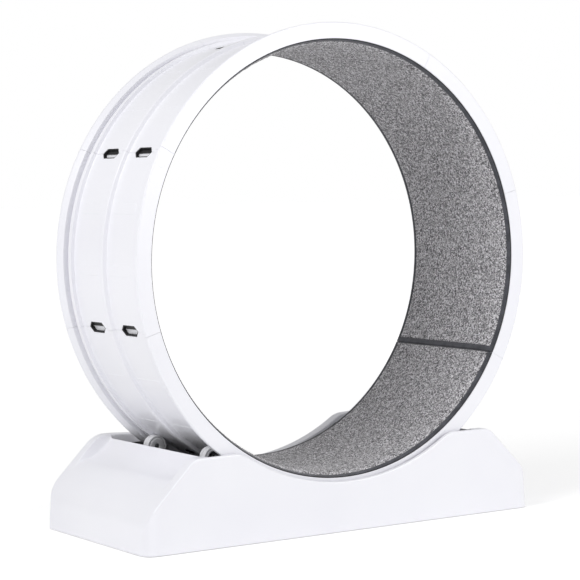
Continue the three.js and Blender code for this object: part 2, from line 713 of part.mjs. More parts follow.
function baseShell() {
  const overlap = BASE_WALL / 2;
  const walls = [
    slab(wallOutline, FRONT, FRONT + BASE_WALL, EDGE_ROUNDING),
    slab(wallOutline, BACK - BASE_WALL, BACK, EDGE_ROUNDING),
  ];
  const ends = [-1, 1].map((side) => slab(endOutline(side), FRONT + overlap, BACK - overlap));
  const outside = joined([...walls, ...ends]).intersect(planBlock(0, SHELL_BOTTOM));

  const well = block([-HALF_WELL, WELL_FRONT, -1], [HALF_WELL, WELL_BACK, 2 * BASE_HEIGHT]);
  const inOutline = drawnIn(wallOutline, SHELL_SKIN);
  const frontHollow = slab(inOutline, FRONT + SHELL_SKIN, FRONT + BASE_WALL - SHELL_SKIN).subtract(
    block(
      [-HALF_WELL - SHELL_SKIN, FRONT, -10],
      [HALF_WELL + SHELL_SKIN, FRONT + BASE_WALL, 2 * BASE_HEIGHT],
    ),
  );
  const backHollow = slab(inOutline, BACK - BASE_WALL + SHELL_SKIN, BACK - SHELL_SKIN);
  const endHollows = [-1, 1].map((side) =>
    slab(drawnIn(endOutline(side), SHELL_SKIN), FRONT + SHELL_SKIN, BACK - SHELL_SKIN),
  );
  const hollow = joined([frontHollow, backHollow, ...endHollows]).intersect(
    planBlock(SHELL_SKIN, BELOW),
  );
  // Behind the front wall's rim only a lip reaches back towards the wheel.
  const underLip = slab(drawnIn(wallOutline, LIP_THICKNESS), FRONT + SHELL_SKIN, WELL_FRONT + 1)
    .intersect(block([-HALF_WELL, FRONT, -10], [HALF_WELL, WELL_BACK, 2 * BASE_HEIGHT]));

  const stiffeners = [];
  const bayDepth = (BASE_DEPTH - 2 * BASE_WALL) / (SHELL_RIB_COUNT + 1);
  for (const side of [-1, 1]) {
    for (let rib = 1; rib <= SHELL_RIB_COUNT; rib++) {
      const y = FRONT + BASE_WALL + rib * bayDepth;
      const whole = slab(endOutline(side), y - SHELL_RIB / 2, y + SHELL_RIB / 2);
      stiffeners.push(whole.intersect(outside));
    }
  }
  const bossRadius = FOOT_STEM_RADIUS + FIT + FOOT_BOSS_WALL;
  const bosses = footPlaces.map(([x, y]) =>
    post(x, y, bossRadius, FOOT_HEIGHT, BASE_HEIGHT).intersect(outside),
  );
  const ledge = block(
    [-HALF_WELL - SHELL_SKIN, FRONT + SHELL_SKIN - 1, SHELL_BOTTOM],
    [HALF_WELL + SHELL_SKIN, WELL_BACK + 1, SHELL_BOTTOM + TRAY_LEDGE_THICKNESS],
  ).subtract(
    block(
      [-HALF_WELL + TRAY_LEDGE_WIDTH, WELL_FRONT + TRAY_LEDGE_WIDTH, -10],
      [HALF_WELL - TRAY_LEDGE_WIDTH, WELL_BACK - TRAY_LEDGE_WIDTH, BASE_HEIGHT],
    ),
  );
  const shell = joined([
    cutBy(outside, [well, hollow, underLip]),
    ...stiffeners,
    ...bosses,
    ledge,
  ]);
  const stemHoles = footPlaces.map(([x, y]) =>
    post(x, y, FOOT_STEM_RADIUS + FIT, -1, FOOT_HEIGHT + FOOT_STEM_LENGTH + FIT, 16),
  );
  return cutBy(shell, stemHoles);
}

function baseTray() {
  const side = HALF_WELL - FIT;
  const front = WELL_FRONT + FIT;
  const back = WELL_BACK - FIT;
  const belowRim = drawnIn(wallOutline, TRAY_BELOW_RIM);
  const top = BASE_HEIGHT - TRAY_BELOW_TOP;
  const outside = block([-side, front, TRAY_BOTTOM], [side, back, top]).intersect(
    slab(belowRim, front - 1, back + 1),
  );
  const inside = block(
    [-side + TRAY_WALL, front + TRAY_WALL, TRAY_INSIDE],
    [side - TRAY_WALL, back - TRAY_WALL, 2 * BASE_HEIGHT],
  );
  const clearRadius = WHEEL_RADIUS + WHEEL_CLEARANCE;
  const wheelSpace = new THREE.CylinderGeometry(
    clearRadius,
    clearRadius,
    WHEEL_WIDTH + 2 * WHEEL_CLEARANCE,
    96,
  );
  wheelSpace.translate(0, WHEEL_MIDDLE_Y, WHEEL_CENTRE_HEIGHT);
  return cutBy(outside, [inside, solidFrom(wheelSpace)]);
}

const foot = (() => {
  const top = FOOT_HEIGHT - FIT;
  const geometry = new THREE.LatheGeometry(
    [
      new THREE.Vector2(0, 0),
      new THREE.Vector2(FOOT_RADIUS - 0.8, 0),
      new THREE.Vector2(FOOT_RADIUS, 0.8),
      new THREE.Vector2(FOOT_RADIUS, top),
      new THREE.Vector2(FOOT_STEM_RADIUS, top),
      new THREE.Vector2(FOOT_STEM_RADIUS, FOOT_HEIGHT + FOOT_STEM_LENGTH),
      new THREE.Vector2(0, FOOT_HEIGHT + FOOT_STEM_LENGTH),
    ],
    16,
  );
  return solidFrom(geometry.rotateX(Math.PI / 2));
})();

// ---- The assembly ----

const catWheel = new THREE.Group();

const wheel = new THREE.Group();
wheel.position.set(0, WHEEL_MIDDLE_Y, WHEEL_CENTRE_HEIGHT);
catWheel.add(wheel);

for (let index = 0; index < SEGMENT_COUNT; index++) {
  const number = index + 1;
  const seam = SEAM_ANGLE + index * SEGMENT_ANGLE;
  wheel.add(meshOf(`segment_${number}`, segment(index), whitePlastic));
  wheel.add(meshOf(`clip_${number}_front`, clip(-WINDOW_CENTRE, seam), blackPlastic));
  wheel.add(meshOf(`clip_${number}_back`, clip(WINDOW_CENTRE, seam), blackPlastic));
}

for (let index = 0; index < MAT_COUNT; index++) {
  wheel.add(meshOf(`mat_${index + 1}`, pile(index), greyPile));
  wheel.add(meshOf(`mat_binding_${index + 1}`, binding(index), darkBinding));
}

// The rollers stand in pairs left and right, under the wheel's front and back channel.
const rollerPlaces = [
  ["front_left", -1, -1],
  ["front_right", 1, -1],
  ["back_left", -1, 1],
  ["back_right", 1, 1],
];
for (const [place, sideways, backward] of rollerPlaces) {
  const stand = new THREE.Group();
  stand.position.set(
    sideways * ROLLER_X,
    backward * ROLLER_CENTRE + WHEEL_MIDDLE_Y,
    ROLLER_HEIGHT,
  );
  stand.rotation.z = backward > 0 ? 0 : Math.PI;
  stand.add(meshOf(`roller_${place}`, rollerHub, rollerNylon));
  stand.add(meshOf(`tyre_${place}`, rollerTyre, tyreRubber));
  stand.add(meshOf(`bearing_${place}`, rollerBearing, steel));
  stand.add(meshOf(`axle_${place}`, rollerAxle, steel));
  stand.add(meshOf(`bracket_${place}`, bracket, blackPlastic));
  catWheel.add(stand);
}

catWheel.add(meshOf("base_shell", baseShell(), whitePlastic));
catWheel.add(meshOf("base_tray", baseTray(), blackPlastic));

footPlaces.forEach(([x, y], index) => {
  const pad = meshOf(`foot_${index + 1}`, foot, footRubber);
  pad.position.set(x, y, 0);
  catWheel.add(pad);
});

export default catWheel;
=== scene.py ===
"""The finished look of a cat exercise wheel: a running wheel on four rollers in a moulded base."""
import json
import math
import random

import bmesh
import bpy
from mathutils import Matrix, Vector


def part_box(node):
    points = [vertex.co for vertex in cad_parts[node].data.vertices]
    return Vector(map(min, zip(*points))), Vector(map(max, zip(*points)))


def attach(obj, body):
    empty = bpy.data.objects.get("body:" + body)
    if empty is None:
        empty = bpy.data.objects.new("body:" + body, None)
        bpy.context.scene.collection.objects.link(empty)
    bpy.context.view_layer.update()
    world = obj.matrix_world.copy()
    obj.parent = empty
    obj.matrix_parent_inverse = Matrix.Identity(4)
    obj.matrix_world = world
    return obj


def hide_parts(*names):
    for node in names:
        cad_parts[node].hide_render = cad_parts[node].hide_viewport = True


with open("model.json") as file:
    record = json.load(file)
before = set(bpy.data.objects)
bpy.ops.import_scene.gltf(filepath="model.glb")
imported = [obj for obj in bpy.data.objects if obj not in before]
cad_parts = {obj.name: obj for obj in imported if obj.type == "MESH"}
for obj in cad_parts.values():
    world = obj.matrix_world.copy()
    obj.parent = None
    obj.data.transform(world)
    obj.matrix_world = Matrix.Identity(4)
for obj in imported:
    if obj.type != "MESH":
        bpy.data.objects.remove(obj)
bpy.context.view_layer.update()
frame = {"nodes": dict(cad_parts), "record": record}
MM = 0.001

# ---- The camera ----
# It stands in front of the product to its left, far back, a little over the wheel's middle.
# Its place is counted in wheel radii from the wheel's centre.
joints = {joint["name"]: joint for joint in frame["record"]["behaviour"]["joints"]}
wheel_centre = Vector(joints["wheel_spin"]["pos_m"])
WHEEL_RADIUS = 400
camera_azimuth = math.radians(-33.86)
camera_distance = 8.648
camera_height = 0.3364
camera_yaw = 0.00365
camera_pitch = -0.05555
camera_roll = -0.0143
camera_lens = 122.44

heading = camera_azimuth + camera_yaw
forward = Vector((
    -math.sin(heading) * math.cos(camera_pitch),
    math.cos(heading) * math.cos(camera_pitch),
    math.sin(camera_pitch),
))
level = Vector((math.cos(heading), math.sin(heading), 0))
raised = level.cross(forward)
rightward = level * math.cos(camera_roll) + raised * math.sin(camera_roll)
upward = raised * math.cos(camera_roll) - level * math.sin(camera_roll)
camera_place = wheel_centre + WHEEL_RADIUS * MM * Vector((
    camera_distance * math.sin(camera_azimuth),
    -camera_distance * math.cos(camera_azimuth),
    camera_height,
))
camera_data = bpy.data.cameras.new("camera")
camera_data.lens = camera_lens
camera = bpy.data.objects.new("camera", camera_data)
camera.matrix_world = Matrix.Translation(camera_place) @ Matrix((
    (rightward.x, upward.x, -forward.x),
    (rightward.y, upward.y, -forward.y),
    (rightward.z, upward.z, -forward.z),
)).to_4x4()
bpy.context.scene.collection.objects.link(camera)
bpy.context.scene.camera = camera

# ---- The white mouldings' plastic ----
# Injection-moulded ABS, satin to gloss from a polished mould. It has broad soft highlights, a
# faint cool tone with a hardly visible cloudiness, and the mould's fine grain.


def linear(hex_colour):
    """A linear colour with alpha from an sRGB hex value."""
    parts = [int(hex_colour[i:i + 2], 16) / 255 for i in (1, 3, 5)]
    bright = [p / 12.92 if p <= 0.04045 else ((p + 0.055) / 1.055) ** 2.4 for p in parts]
    return (*bright, 1)


def add_node(owner, kind, settings, links=None):
    """Adds a node to a tree or to what has one, and sets or links its inputs and properties."""
    tree = getattr(owner, "node_tree", owner)
    node = tree.nodes.new(kind)
    for name, value in settings.items():
        if isinstance(name, int) or name in node.inputs:
            node.inputs[name].default_value = value
        else:
            setattr(node, name, value)
    for name, output in (links or {}).items():
        tree.links.new(output, node.inputs[name])
    return node


def started_material(name, settings):
    """A material with its principled shader, and the shader."""
    surface = bpy.data.materials.new(name)
    surface.use_nodes = True
    surface.node_tree.nodes.clear()
    shader = add_node(surface, "ShaderNodeBsdfPrincipled", settings)
    output = add_node(surface, "ShaderNodeOutputMaterial", {})
    surface.node_tree.links.new(shader.outputs["BSDF"], output.inputs["Surface"])
    return surface, shader


def object_place(surface):
    """The object's own coordinates, in metres."""
    return add_node(surface, "ShaderNodeTexCoord", {}).outputs["Object"]


def tinted(surface, shader, source, stops):
    """Colours the surface by a source from 0 to 1, through stops of place and hex colour."""
    ramp = add_node(surface, "ShaderNodeValToRGB", {}, {"Fac": source})
    elements = ramp.color_ramp.elements
    while len(elements) < len(stops):
        elements.new(0.5)
    for element, (place, colour) in zip(elements, stops):
        element.position = place
        element.color = linear(colour)
    surface.node_tree.links.new(ramp.outputs["Color"], shader.inputs["Base Color"])


def bumped(surface, shader, height, depth, strength):
    """Bumps the surface by a height output, with its full depth in metres."""
    bump = add_node(
        surface,
        "ShaderNodeBump",
        {"Strength": strength, "Distance": depth},
        {"Height": height},
    )
    surface.node_tree.links.new(bump.outputs["Normal"], shader.inputs["Normal"])


def moulded(name, light, shade, roughness, cloud_mm, grain_mm):
    """A moulded plastic or rubber with a faint cloudiness of cloud_mm and a grain of grain_mm."""
    surface, shader = started_material(name, {"Roughness": roughness, "IOR": 1.53})
    place = object_place(surface)
    cloud = add_node(
        surface,
        "ShaderNodeTexNoise",
        {"Scale": 1 / (cloud_mm * MM), "Detail": 2.0},
        {"Vector": place},
    )
    tinted(surface, shader, cloud.outputs["Fac"], [(0.3, shade), (0.7, light)])
    grain = add_node(
        surface,
        "ShaderNodeTexNoise",
        {"Scale": 1 / (grain_mm * MM), "Detail": 1.0},
        {"Vector": place},
    )
    bumped(surface, shader, grain.outputs["Fac"], 0.03 * MM, 0.35)
    return surface


white_abs = moulded("moulded_white_abs", "#f6f6fb", "#f3f3f9", 0.3, 160, 2.5)

# ---- The rim segments ----
# Eight 45 degree trays of white ABS make the wheel. Each is one moulding with two channels for
# the rollers, a bead between them, a rail and a narrow groove at each side, and flared flanges.
SEGMENTS = 8
SEAM_ANGLE = 16.3
SEAM_GAP = 0.36
RIM_STEPS = 36
CHANNEL_RADIUS = 382.3
SEAT_RADIUS = 372.3
RIM_HALF_WIDTH = 140.0
# Each corner: place across from the middle plane, radius, and rounding.
RIM_CORNERS = [
    (RIM_HALF_WIDTH, SEAT_RADIUS, 0.8),
    (RIM_HALF_WIDTH, WHEEL_RADIUS, 2.6),
    (133.5, WHEEL_RADIUS, 6.0),
    (123.2, 394.2, 1.2),
    (122.5, 377.5, 1.0),
    (115.7, 377.5, 1.0),
    (115.0, 389.5, 1.2),
    (105.6, 389.5, 1.2),
    (104.8, CHANNEL_RADIUS, 1.5),
    (9.0, CHANNEL_RADIUS, 1.8),
    (6.4, 389.6, 2.8),
]


def rounded_outline(corners, steps=4):
    """An outline whose corners are arcs. Each corner is two coordinates and a radius."""
    points = []
    for index, (x, y, radius) in enumerate(corners):
        corner = Vector((x, y))
        before = Vector(corners[index - 1][:2]) - corner
        after = Vector(corners[(index + 1) % len(corners)][:2]) - corner
        half_angle = before.angle(after) / 2
        reach = radius / math.tan(half_angle)
        reach = min(reach, 0.45 * before.length, 0.45 * after.length)
        first = corner + before.normalized() * reach
        last = corner + after.normalized() * reach
        for step in range(steps + 1):
            t = step / steps
            point = first * (1 - t) ** 2 + corner * (2 * t * (1 - t)) + last * t ** 2
            points.append((point.x, point.y))
    return points


def at_rim(across, radius, angle):
    """A point of the wheel, from its place across, its radius and its angle up from +X."""
    turn = math.radians(angle)
    return wheel_centre + MM * Vector((radius * math.cos(turn), across, radius * math.sin(turn)))


def mesh_piece(name, points, faces, *surfaces):
    """A mesh object whose place is in its points."""
    mesh = bpy.data.meshes.new(name)
    mesh.from_pydata([tuple(point) for point in points], [], faces)
    for surface in surfaces:
        mesh.materials.append(surface)
    piece = bpy.data.objects.new(name, mesh)
    bpy.context.scene.collection.objects.link(piece)
    return piece


def faced_outward(piece):
    """Merges doubled points and turns every face outward."""
    work = bmesh.new()
    work.from_mesh(piece.data)
    bmesh.ops.remove_doubles(work, verts=work.verts, dist=1e-6)
    bmesh.ops.recalc_face_normals(work, faces=work.faces)
    work.to_mesh(piece.data)
    work.free()
    return piece


def smoothed(piece, angle):
    """Smooth shading, with edges over the angle kept sharp."""
    piece.data.shade_smooth()
    piece.data.set_sharp_from_angle(angle=math.radians(angle))
    return piece


def settled(piece):
    """Turns what a piece's modifiers make into its plain mesh."""
    depsgraph = bpy.context.evaluated_depsgraph_get()
    mesh = bpy.data.meshes.new_from_object(piece.evaluated_get(depsgraph))
    piece.modifiers.clear()
    piece.data = mesh
    return piece


def carved(piece, operation, tools):
    """Cuts or joins a piece with tools, which go away."""
    for tool in tools:
        modifier = piece.modifiers.new("carve", "BOOLEAN")
        modifier.operation = operation
        modifier.solver = "EXACT"
        modifier.object = tool
    settled(piece)
    for tool in tools:
        bpy.data.objects.remove(tool)
    return piece


def lofted(rows):
    """Points and faces of closed rows of equally many points. The last two faces are the ends."""
    width = len(rows[0])
    points = [point for row in rows for point in row]
    faces = []
    for row in range(len(rows) - 1):
        for column in range(width):
            a = row * width + column
            b = row * width + (column + 1) % width
            faces.append((a, b, b + width, a + width))
    faces.append(tuple(range(width)))
    faces.append(tuple(range(len(points) - width, len(points))))
    return points, faces


def joined(pieces):
    """One mesh object from several. It keeps the first one's name."""
    bpy.ops.object.select_all(action="DESELECT")
    for piece in pieces:
        piece.select_set(True)
    bpy.context.view_layer.objects.active = pieces[0]
    bpy.ops.object.join()
    return pieces[0]


def rim_sweep(name, corners, start, end):
    """A closed section swept round the wheel between two angles."""
    section = rounded_outline(corners)
    rows = []
    for step in range(RIM_STEPS + 1):
        angle = start + (end - start) * step / RIM_STEPS
        rows.append([at_rim(across, radius, angle) for across, radius in section])
    return faced_outward(mesh_piece(name, *lofted(rows), white_abs))


# The windows at the seams: six-cornered, longer across the wheel than round it.
WINDOW_CENTRE = 55.4
WINDOW_TIP = 27.65
WINDOW_FLAT = 18.5
WINDOW_HALF_HEIGHT = 9.4
WINDOW_FLOOR = 375.8
CUTTER_TOP = 392
CUTTER_BOTTOM = 370
window_outline = [
    (-WINDOW_TIP, 0),
    (-WINDOW_FLAT, -WINDOW_HALF_HEIGHT),
    (WINDOW_FLAT, -WINDOW_HALF_HEIGHT),
    (WINDOW_TIP, 0),
    (WINDOW_FLAT, WINDOW_HALF_HEIGHT),
    (-WINDOW_FLAT, WINDOW_HALF_HEIGHT),
]
# The tongue under each window is a little smaller than the window.
TONGUE_THICKNESS = 2.5
tongue_outline = [
    (-WINDOW_TIP + 0.7, -2),
    (WINDOW_TIP - 0.7, -2),
    (WINDOW_TIP - 0.7, 0),
    (WINDOW_FLAT - 0.3, WINDOW_HALF_HEIGHT - 0.5),
    (-WINDOW_FLAT + 0.3, WINDOW_HALF_HEIGHT - 0.5),
    (-WINDOW_TIP + 0.7, 0),
]


def beside_seam(across, along, radius, seam):
    """A point by a seam: across the wheel, along the rim from the seam, and its radius."""
    return at_rim(across, radius, seam + math.degrees(along / CHANNEL_RADIUS))


def seam_prism(name, outline, centre, low, high, seam):
    """An outline by a seam, raised from one radius to another."""
    rows = [
        [beside_seam(centre + across, along, radius, seam) for across, along in outline]
        for radius in (low, high)
    ]
    return faced_outward(mesh_piece(name, *lofted(rows), white_abs))


# The faint pads that the mould left: two in each channel of a segment, and one on its face.
PAD_STEP = 0.35
PAD_EDGE = 0.5
PAD_ROWS = 12


def raised_pad(name, half_length, half_height, corner, place):
    """A thin raised pad with round corners. place(u, v, height) gives a point of it."""
    rows = []
    for row in range(PAD_ROWS + 1):
        v = -math.cos(math.pi * row / PAD_ROWS) * half_height
        past = max(0.0, abs(v) - (half_height - corner))
        cut = corner - math.sqrt(max(0.0, corner ** 2 - past ** 2))
        reach = half_length - cut
        lift = PAD_STEP if 0 < row < PAD_ROWS else 0
        rows.append([
            place(-reach, v, -0.2),
            place(-reach, v, 0),
            place(-reach + PAD_EDGE, v, lift),
            place(reach - PAD_EDGE, v, lift),
            place(reach, v, 0),
            place(reach, v, -0.2),
        ])
    return faced_outward(mesh_piece(name, *lofted(rows), white_abs))


# Each pad's half length, half height and corner.
CHANNEL_PAD = (38, 9, 3.5)
FACE_PAD = (11.5, 5.5, 5.2)
CHANNEL_PAD_CENTRE = 52.0
CHANNEL_PAD_ANGLE = 7.7
FACE_PAD_ANGLE = 2.9
FACE_PAD_RADIUS = 386.5
half_gap = math.degrees(SEAM_GAP / 2 / CHANNEL_RADIUS)
mirrored_corners = [(-across, radius, rounding) for across, radius, rounding in RIM_CORNERS]
rim_corners = RIM_CORNERS + mirrored_corners[::-1]

for index in range(SEGMENTS):
    start = SEAM_ANGLE + index * 360 / SEGMENTS
    end = start + 360 / SEGMENTS
    name = f"rim_segment_{index + 1}"
    segment = rim_sweep(name, rim_corners, start + half_gap, end - half_gap)
    carved(segment, "DIFFERENCE", [
        seam_prism("window", window_outline, side * WINDOW_CENTRE, low, CUTTER_TOP, seam)
        for side in (-1, 1)
        for low, seam in ((CUTTER_BOTTOM, start), (WINDOW_FLOOR, end))
    ])
    additions = [
        seam_prism("tongue", tongue_outline, side * WINDOW_CENTRE,
                   WINDOW_FLOOR - TONGUE_THICKNESS, WINDOW_FLOOR - 0.01, end)
        for side in (-1, 1)
    ]
    middle = (start + end) / 2
    for side in (-1, 1):
        for turn in (-CHANNEL_PAD_ANGLE, CHANNEL_PAD_ANGLE):
            additions.append(raised_pad(
                "channel_pad", *CHANNEL_PAD,
                lambda u, v, height, side=side, turn=turn: at_rim(
                    side * CHANNEL_PAD_CENTRE + u,
                    CHANNEL_RADIUS + height,
                    middle + turn + math.degrees(v / CHANNEL_RADIUS),
                ),
            ))
        additions.append(raised_pad(
            "face_pad", *FACE_PAD,
            lambda u, v, height, side=side: at_rim(
                side * (RIM_HALF_WIDTH + height * 0.6),
                FACE_PAD_RADIUS + v,
                start + FACE_PAD_ANGLE + math.degrees(u / FACE_PAD_RADIUS),
            ),
        ))
    segment = joined([segment] + additions)
    segment.name = name
    smoothed(segment, 32)
    weighted = segment.modifiers.new("weighted normals", "WEIGHTED_NORMAL")
    weighted.keep_sharp = True
    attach(segment, "wheel")
    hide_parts(f"segment_{index + 1}")

# ---- The seam clips ----
# Sixteen black clips line the windows and tie each segment to the next. They are moulded from
# acetal with a fine spark-eroded grain, so they look dead matt in their recesses.


def grained(name, settings, grain_mm, detail, stops, depth_mm, strength):
    """A material with a noise of grain_mm that colours it through stops and bumps it."""
    surface, shader = started_material(name, settings)
    grain = add_node(
        surface,
        "ShaderNodeTexNoise",
        {"Scale": 1 / (grain_mm * MM), "Detail": detail},
        {"Vector": object_place(surface)},
    )
    tinted(surface, shader, grain.outputs["Fac"], stops)
    if depth_mm:
        bumped(surface, shader, grain.outputs["Fac"], depth_mm * MM, strength)
    return surface


black_acetal = grained(
    "black_acetal", {"Roughness": 0.62, "IOR": 1.48}, 0.8, 2.0,
    [(0.3, "#0b0b0d"), (0.75, "#1a1a1d")], 0.05, 0.6,
)


def softened_copy(node, name, width_mm, surface):
    """A copy of a CAD solid with merged points and small rounded edges."""
    piece = bpy.data.objects.new(name, frame["nodes"][node].data.copy())
    bpy.context.scene.collection.objects.link(piece)
    piece.data.materials.clear()
    piece.data.materials.append(surface)
    work = bmesh.new()
    work.from_mesh(piece.data)
    bmesh.ops.remove_doubles(work, verts=work.verts, dist=2e-6)
    bmesh.ops.dissolve_limit(
        work, angle_limit=math.radians(0.6), verts=work.verts, edges=work.edges
    )
    work.to_mesh(piece.data)
    work.free()
    bevel = piece.modifiers.new("rounded edges", "BEVEL")
    bevel.width = width_mm * MM
    bevel.segments = 2
    bevel.limit_method = "ANGLE"
    bevel.angle_limit = math.radians(40)
    settled(piece)
    return smoothed(piece, 35)


# A web closes the half of the window before the seam, and the white tongue shows in the rest.
WEB_TOP = 377.6
WEB_OUTLINE = [
    (-WINDOW_TIP + 3.2, -1.2),
    (-WINDOW_FLAT, -WINDOW_HALF_HEIGHT + 1.2),
    (WINDOW_FLAT, -WINDOW_HALF_HEIGHT + 1.2),
    (WINDOW_TIP - 3.2, -1.2),
]
for seam_number in range(1, SEGMENTS + 1):
    for side in ("front", "back"):
        node = f"clip_{seam_number}_{side}"
        clip = softened_copy(node, f"seam_{node}", 0.35, black_acetal)
        seam = SEAM_ANGLE + (seam_number - 1) * 360 / SEGMENTS
        centre = -WINDOW_CENTRE if side == "front" else WINDOW_CENTRE
        web = seam_prism("web", WEB_OUTLINE, centre, WINDOW_FLOOR + 0.3, WEB_TOP, seam)
        web.data.materials.clear()
        web.data.materials.append(black_acetal)
        clip = joined([clip, web])
        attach(clip, "wheel")
        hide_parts(node)

# ---- The mats and their binding ----
# Two half-round strips of polyester loop-pile carpet line the wheel, each bound with a sewn tape.
# The yarn is heathered from light, middle and dark grey filaments, and the pile reads as a fine
# speckle. Its near-black tone is painted shade for the deep shadows between the loops.
MAT_BACK = 372.0
MAT_FRONT = 362.9
MAT_HALF_WIDTH = 130.5
MAT_JOINT_ANGLE = SEAM_ANGLE - 45
PILE_PITCH = 2.6
PILE_HEIGHT = 1.5
PILE_SUNK = 0.4
EDGE_TUFT = 0.9
TUFT_SLIP = 0.35 * PILE_PITCH
loop_pile, pile_shader = started_material(
    "heather_loop_pile_and_painted_shade",
    {"Roughness": 0.95, "IOR": 1.5, "Sheen Weight": 0.25, "Sheen Roughness": 0.6},
)
pile_place = object_place(loop_pile)
yarn = add_node(
    loop_pile,
    "ShaderNodeTexVoronoi",
    {"Scale": 1 / (2.1 * MM), "Randomness": 1.0},
    {"Vector": pile_place},
)
yarn_tone = add_node(loop_pile, "ShaderNodeSeparateColor", {}, {"Color": yarn.outputs["Color"]})
fibre = add_node(
    loop_pile,
    "ShaderNodeTexNoise",
    {"Scale": 1 / (1.5 * MM), "Detail": 2.0, "Roughness": 0.7},
    {"Vector": pile_place},
)
speckle = add_node(
    loop_pile,
    "ShaderNodeMath",
    {"operation": "MULTIPLY_ADD", 1: 0.45, 2: 0.0},
    {0: yarn_tone.outputs["Red"]},
)
speckled = add_node(
    loop_pile,
    "ShaderNodeMath",
    {"operation": "MULTIPLY_ADD", 1: 0.6},
    {0: fibre.outputs["Fac"], 2: speckle.outputs["Value"]},
)
# The darkest, near-black stop is painted shade between the loops; the other stops are the yarn's
# heather.
tinted(loop_pile, pile_shader, speckled.outputs["Value"], [
    (0.27, "#1f1e21"),
    (0.38, "#6c6a6e"),
    (0.55, "#acaaae"),
    (0.72, "#efedf1"),
])
bumped(loop_pile, pile_shader, speckled.outputs["Value"], 1.6 * MM, 0.8)

# The front edge is pressed flat when the tape is sewn on, and the pile rises behind it.
TAPE_HALF_WIDTH = 138.0
PRESSED_WIDTH = 24.0
PRESSED_SHARE = 0.8


def pressed(across, radius):
    """The radius of a mat's point once its front edge is pressed towards the seat."""
    nearness = 1 - min(1.0, max(0.0, (across + TAPE_HALF_WIDTH) / PRESSED_WIDTH))
    return radius + (SEAT_RADIUS - radius) * PRESSED_SHARE * nearness ** 1.5


def pile_mat(name, start, end, seed):
    """A curved carpet strip with an uneven pile on its inner side."""
    draw = random.Random(seed)
    length = math.radians(end - start) * MAT_FRONT
    across_steps = round(2 * MAT_HALF_WIDTH / PILE_PITCH)
    along_steps = round(length / PILE_PITCH)
    rows = []
    for row in range(along_steps + 1):
        angle = start + (end - start) * row / along_steps
        points = [at_rim(-MAT_HALF_WIDTH, MAT_BACK, angle)]
        for column in range(across_steps + 1):
            edge = column in (0, across_steps) or row in (0, along_steps)
            tuft = EDGE_TUFT if edge else draw.uniform(0, PILE_HEIGHT)
            slip = 0 if edge else draw.uniform(-TUFT_SLIP, TUFT_SLIP)
            across = -MAT_HALF_WIDTH + 2 * MAT_HALF_WIDTH * column / across_steps
            radius = pressed(across, MAT_FRONT + tuft - PILE_SUNK)
            points.append(at_rim(across + slip, radius, angle))
        points.append(at_rim(MAT_HALF_WIDTH, MAT_BACK, angle))
        rows.append(points)
    mat = faced_outward(mesh_piece(name, *lofted(rows), loop_pile))
    mat.data.shade_smooth()
    return mat


# The binding: a dark woven polyester tape folded over each mat's edge and sewn down. It lies
# almost flat and is mitred at the corners. One end tape shows, and the next mat's end is tucked
# close under it.
binding_tape, tape_shader = started_material(
    "woven_polyester_tape",
    {"Roughness": 0.8, "IOR": 1.5, "Sheen Weight": 0.3, "Sheen Roughness": 0.5},
)
tape_place = object_place(binding_tape)
tape_weave = add_node(
    binding_tape,
    "ShaderNodeTexVoronoi",
    {"Scale": 1 / (1.3 * MM), "Randomness": 0.35},
    {"Vector": tape_place},
)
tape_cloud = add_node(
    binding_tape,
    "ShaderNodeTexNoise",
    {"Scale": 1 / (14 * MM), "Detail": 2.0},
    {"Vector": tape_place},
)
tape_tone = add_node(
    binding_tape,
    "ShaderNodeMath",
    {"operation": "MULTIPLY_ADD", 1: 0.5},
    {0: tape_weave.outputs["Distance"], 2: tape_cloud.outputs["Fac"]},
)
tinted(binding_tape, tape_shader, tape_tone.outputs["Value"],
       [(0.3, "#5c5d65"), (0.95, "#36373d")])
bumped(binding_tape, tape_shader, tape_weave.outputs["Distance"], 0.25 * MM, 0.7)

TAPE_WIDTH = 7.4
# The tape's own section: share of its width in from the mat's edge, and radius.
TAPE_SECTION = [
    (0.0, 369.2),
    (0.0, 364.6),
    (0.06, 363.8),
    (0.2, 363.3),
    (0.55, 363.0),
    (0.85, 363.3),
    (0.97, 363.8),
    (1.0, 364.8),
    (1.0, 368.5),
]


def tape_loop(share, radius, start, end, end_width, along_steps):
    """One closed line of the tape round a mat, at a share of its width."""
    across = TAPE_HALF_WIDTH - share * TAPE_WIDTH
    low = start + math.degrees(share * end_width / radius)
    high = end - math.degrees(share * end_width / radius)
    across_steps = 40
    loop = []
    for step in range(along_steps):
        loop.append(at_rim(across, radius, low + (high - low) * step / along_steps))
    for step in range(across_steps):
        place = across - 2 * across * step / across_steps
        loop.append(at_rim(place, pressed(place, radius), high))
    for step in range(along_steps):
        front_radius = pressed(-across, radius)
        loop.append(at_rim(-across, front_radius, high + (low - high) * step / along_steps))
    for step in range(across_steps):
        place = -across + 2 * across * step / across_steps
        loop.append(at_rim(place, pressed(place, radius), low))
    return loop


def mat_tape(name, start, end, end_width):
    """The tape all round one mat, closed at its back."""
    along_steps = 120
    rows = [
        tape_loop(share, radius, start, end, end_width, along_steps)
        for share, radius in TAPE_SECTION
    ]
    rows.append(rows[0])
    points, faces = lofted(rows)
    tape = faced_outward(mesh_piece(name, points, faces[:-2], binding_tape))
    return smoothed(tape, 50)


# The mats' backing: a thin felt that shows as a line between the tape and the white rim. Its
# near-black colour is painted shade for the shadow in the gap there.
painted_shade_felt = grained(
    "needle_felt_painted_shade", {"Roughness": 0.95, "IOR": 1.5, "Sheen Weight": 0.1}, 1.6, 3.0,
    [(0.3, "#0a0a0c"), (0.75, "#1d1d21")], 0.3, 0.7,
)
BACKING_CORNERS = [
    (137.9, 369.5, 0.3),
    (137.9, 371.9, 0.3),
    (-138.7, 372.1, 0.3),
    (-138.7, 370.9, 0.3),
]


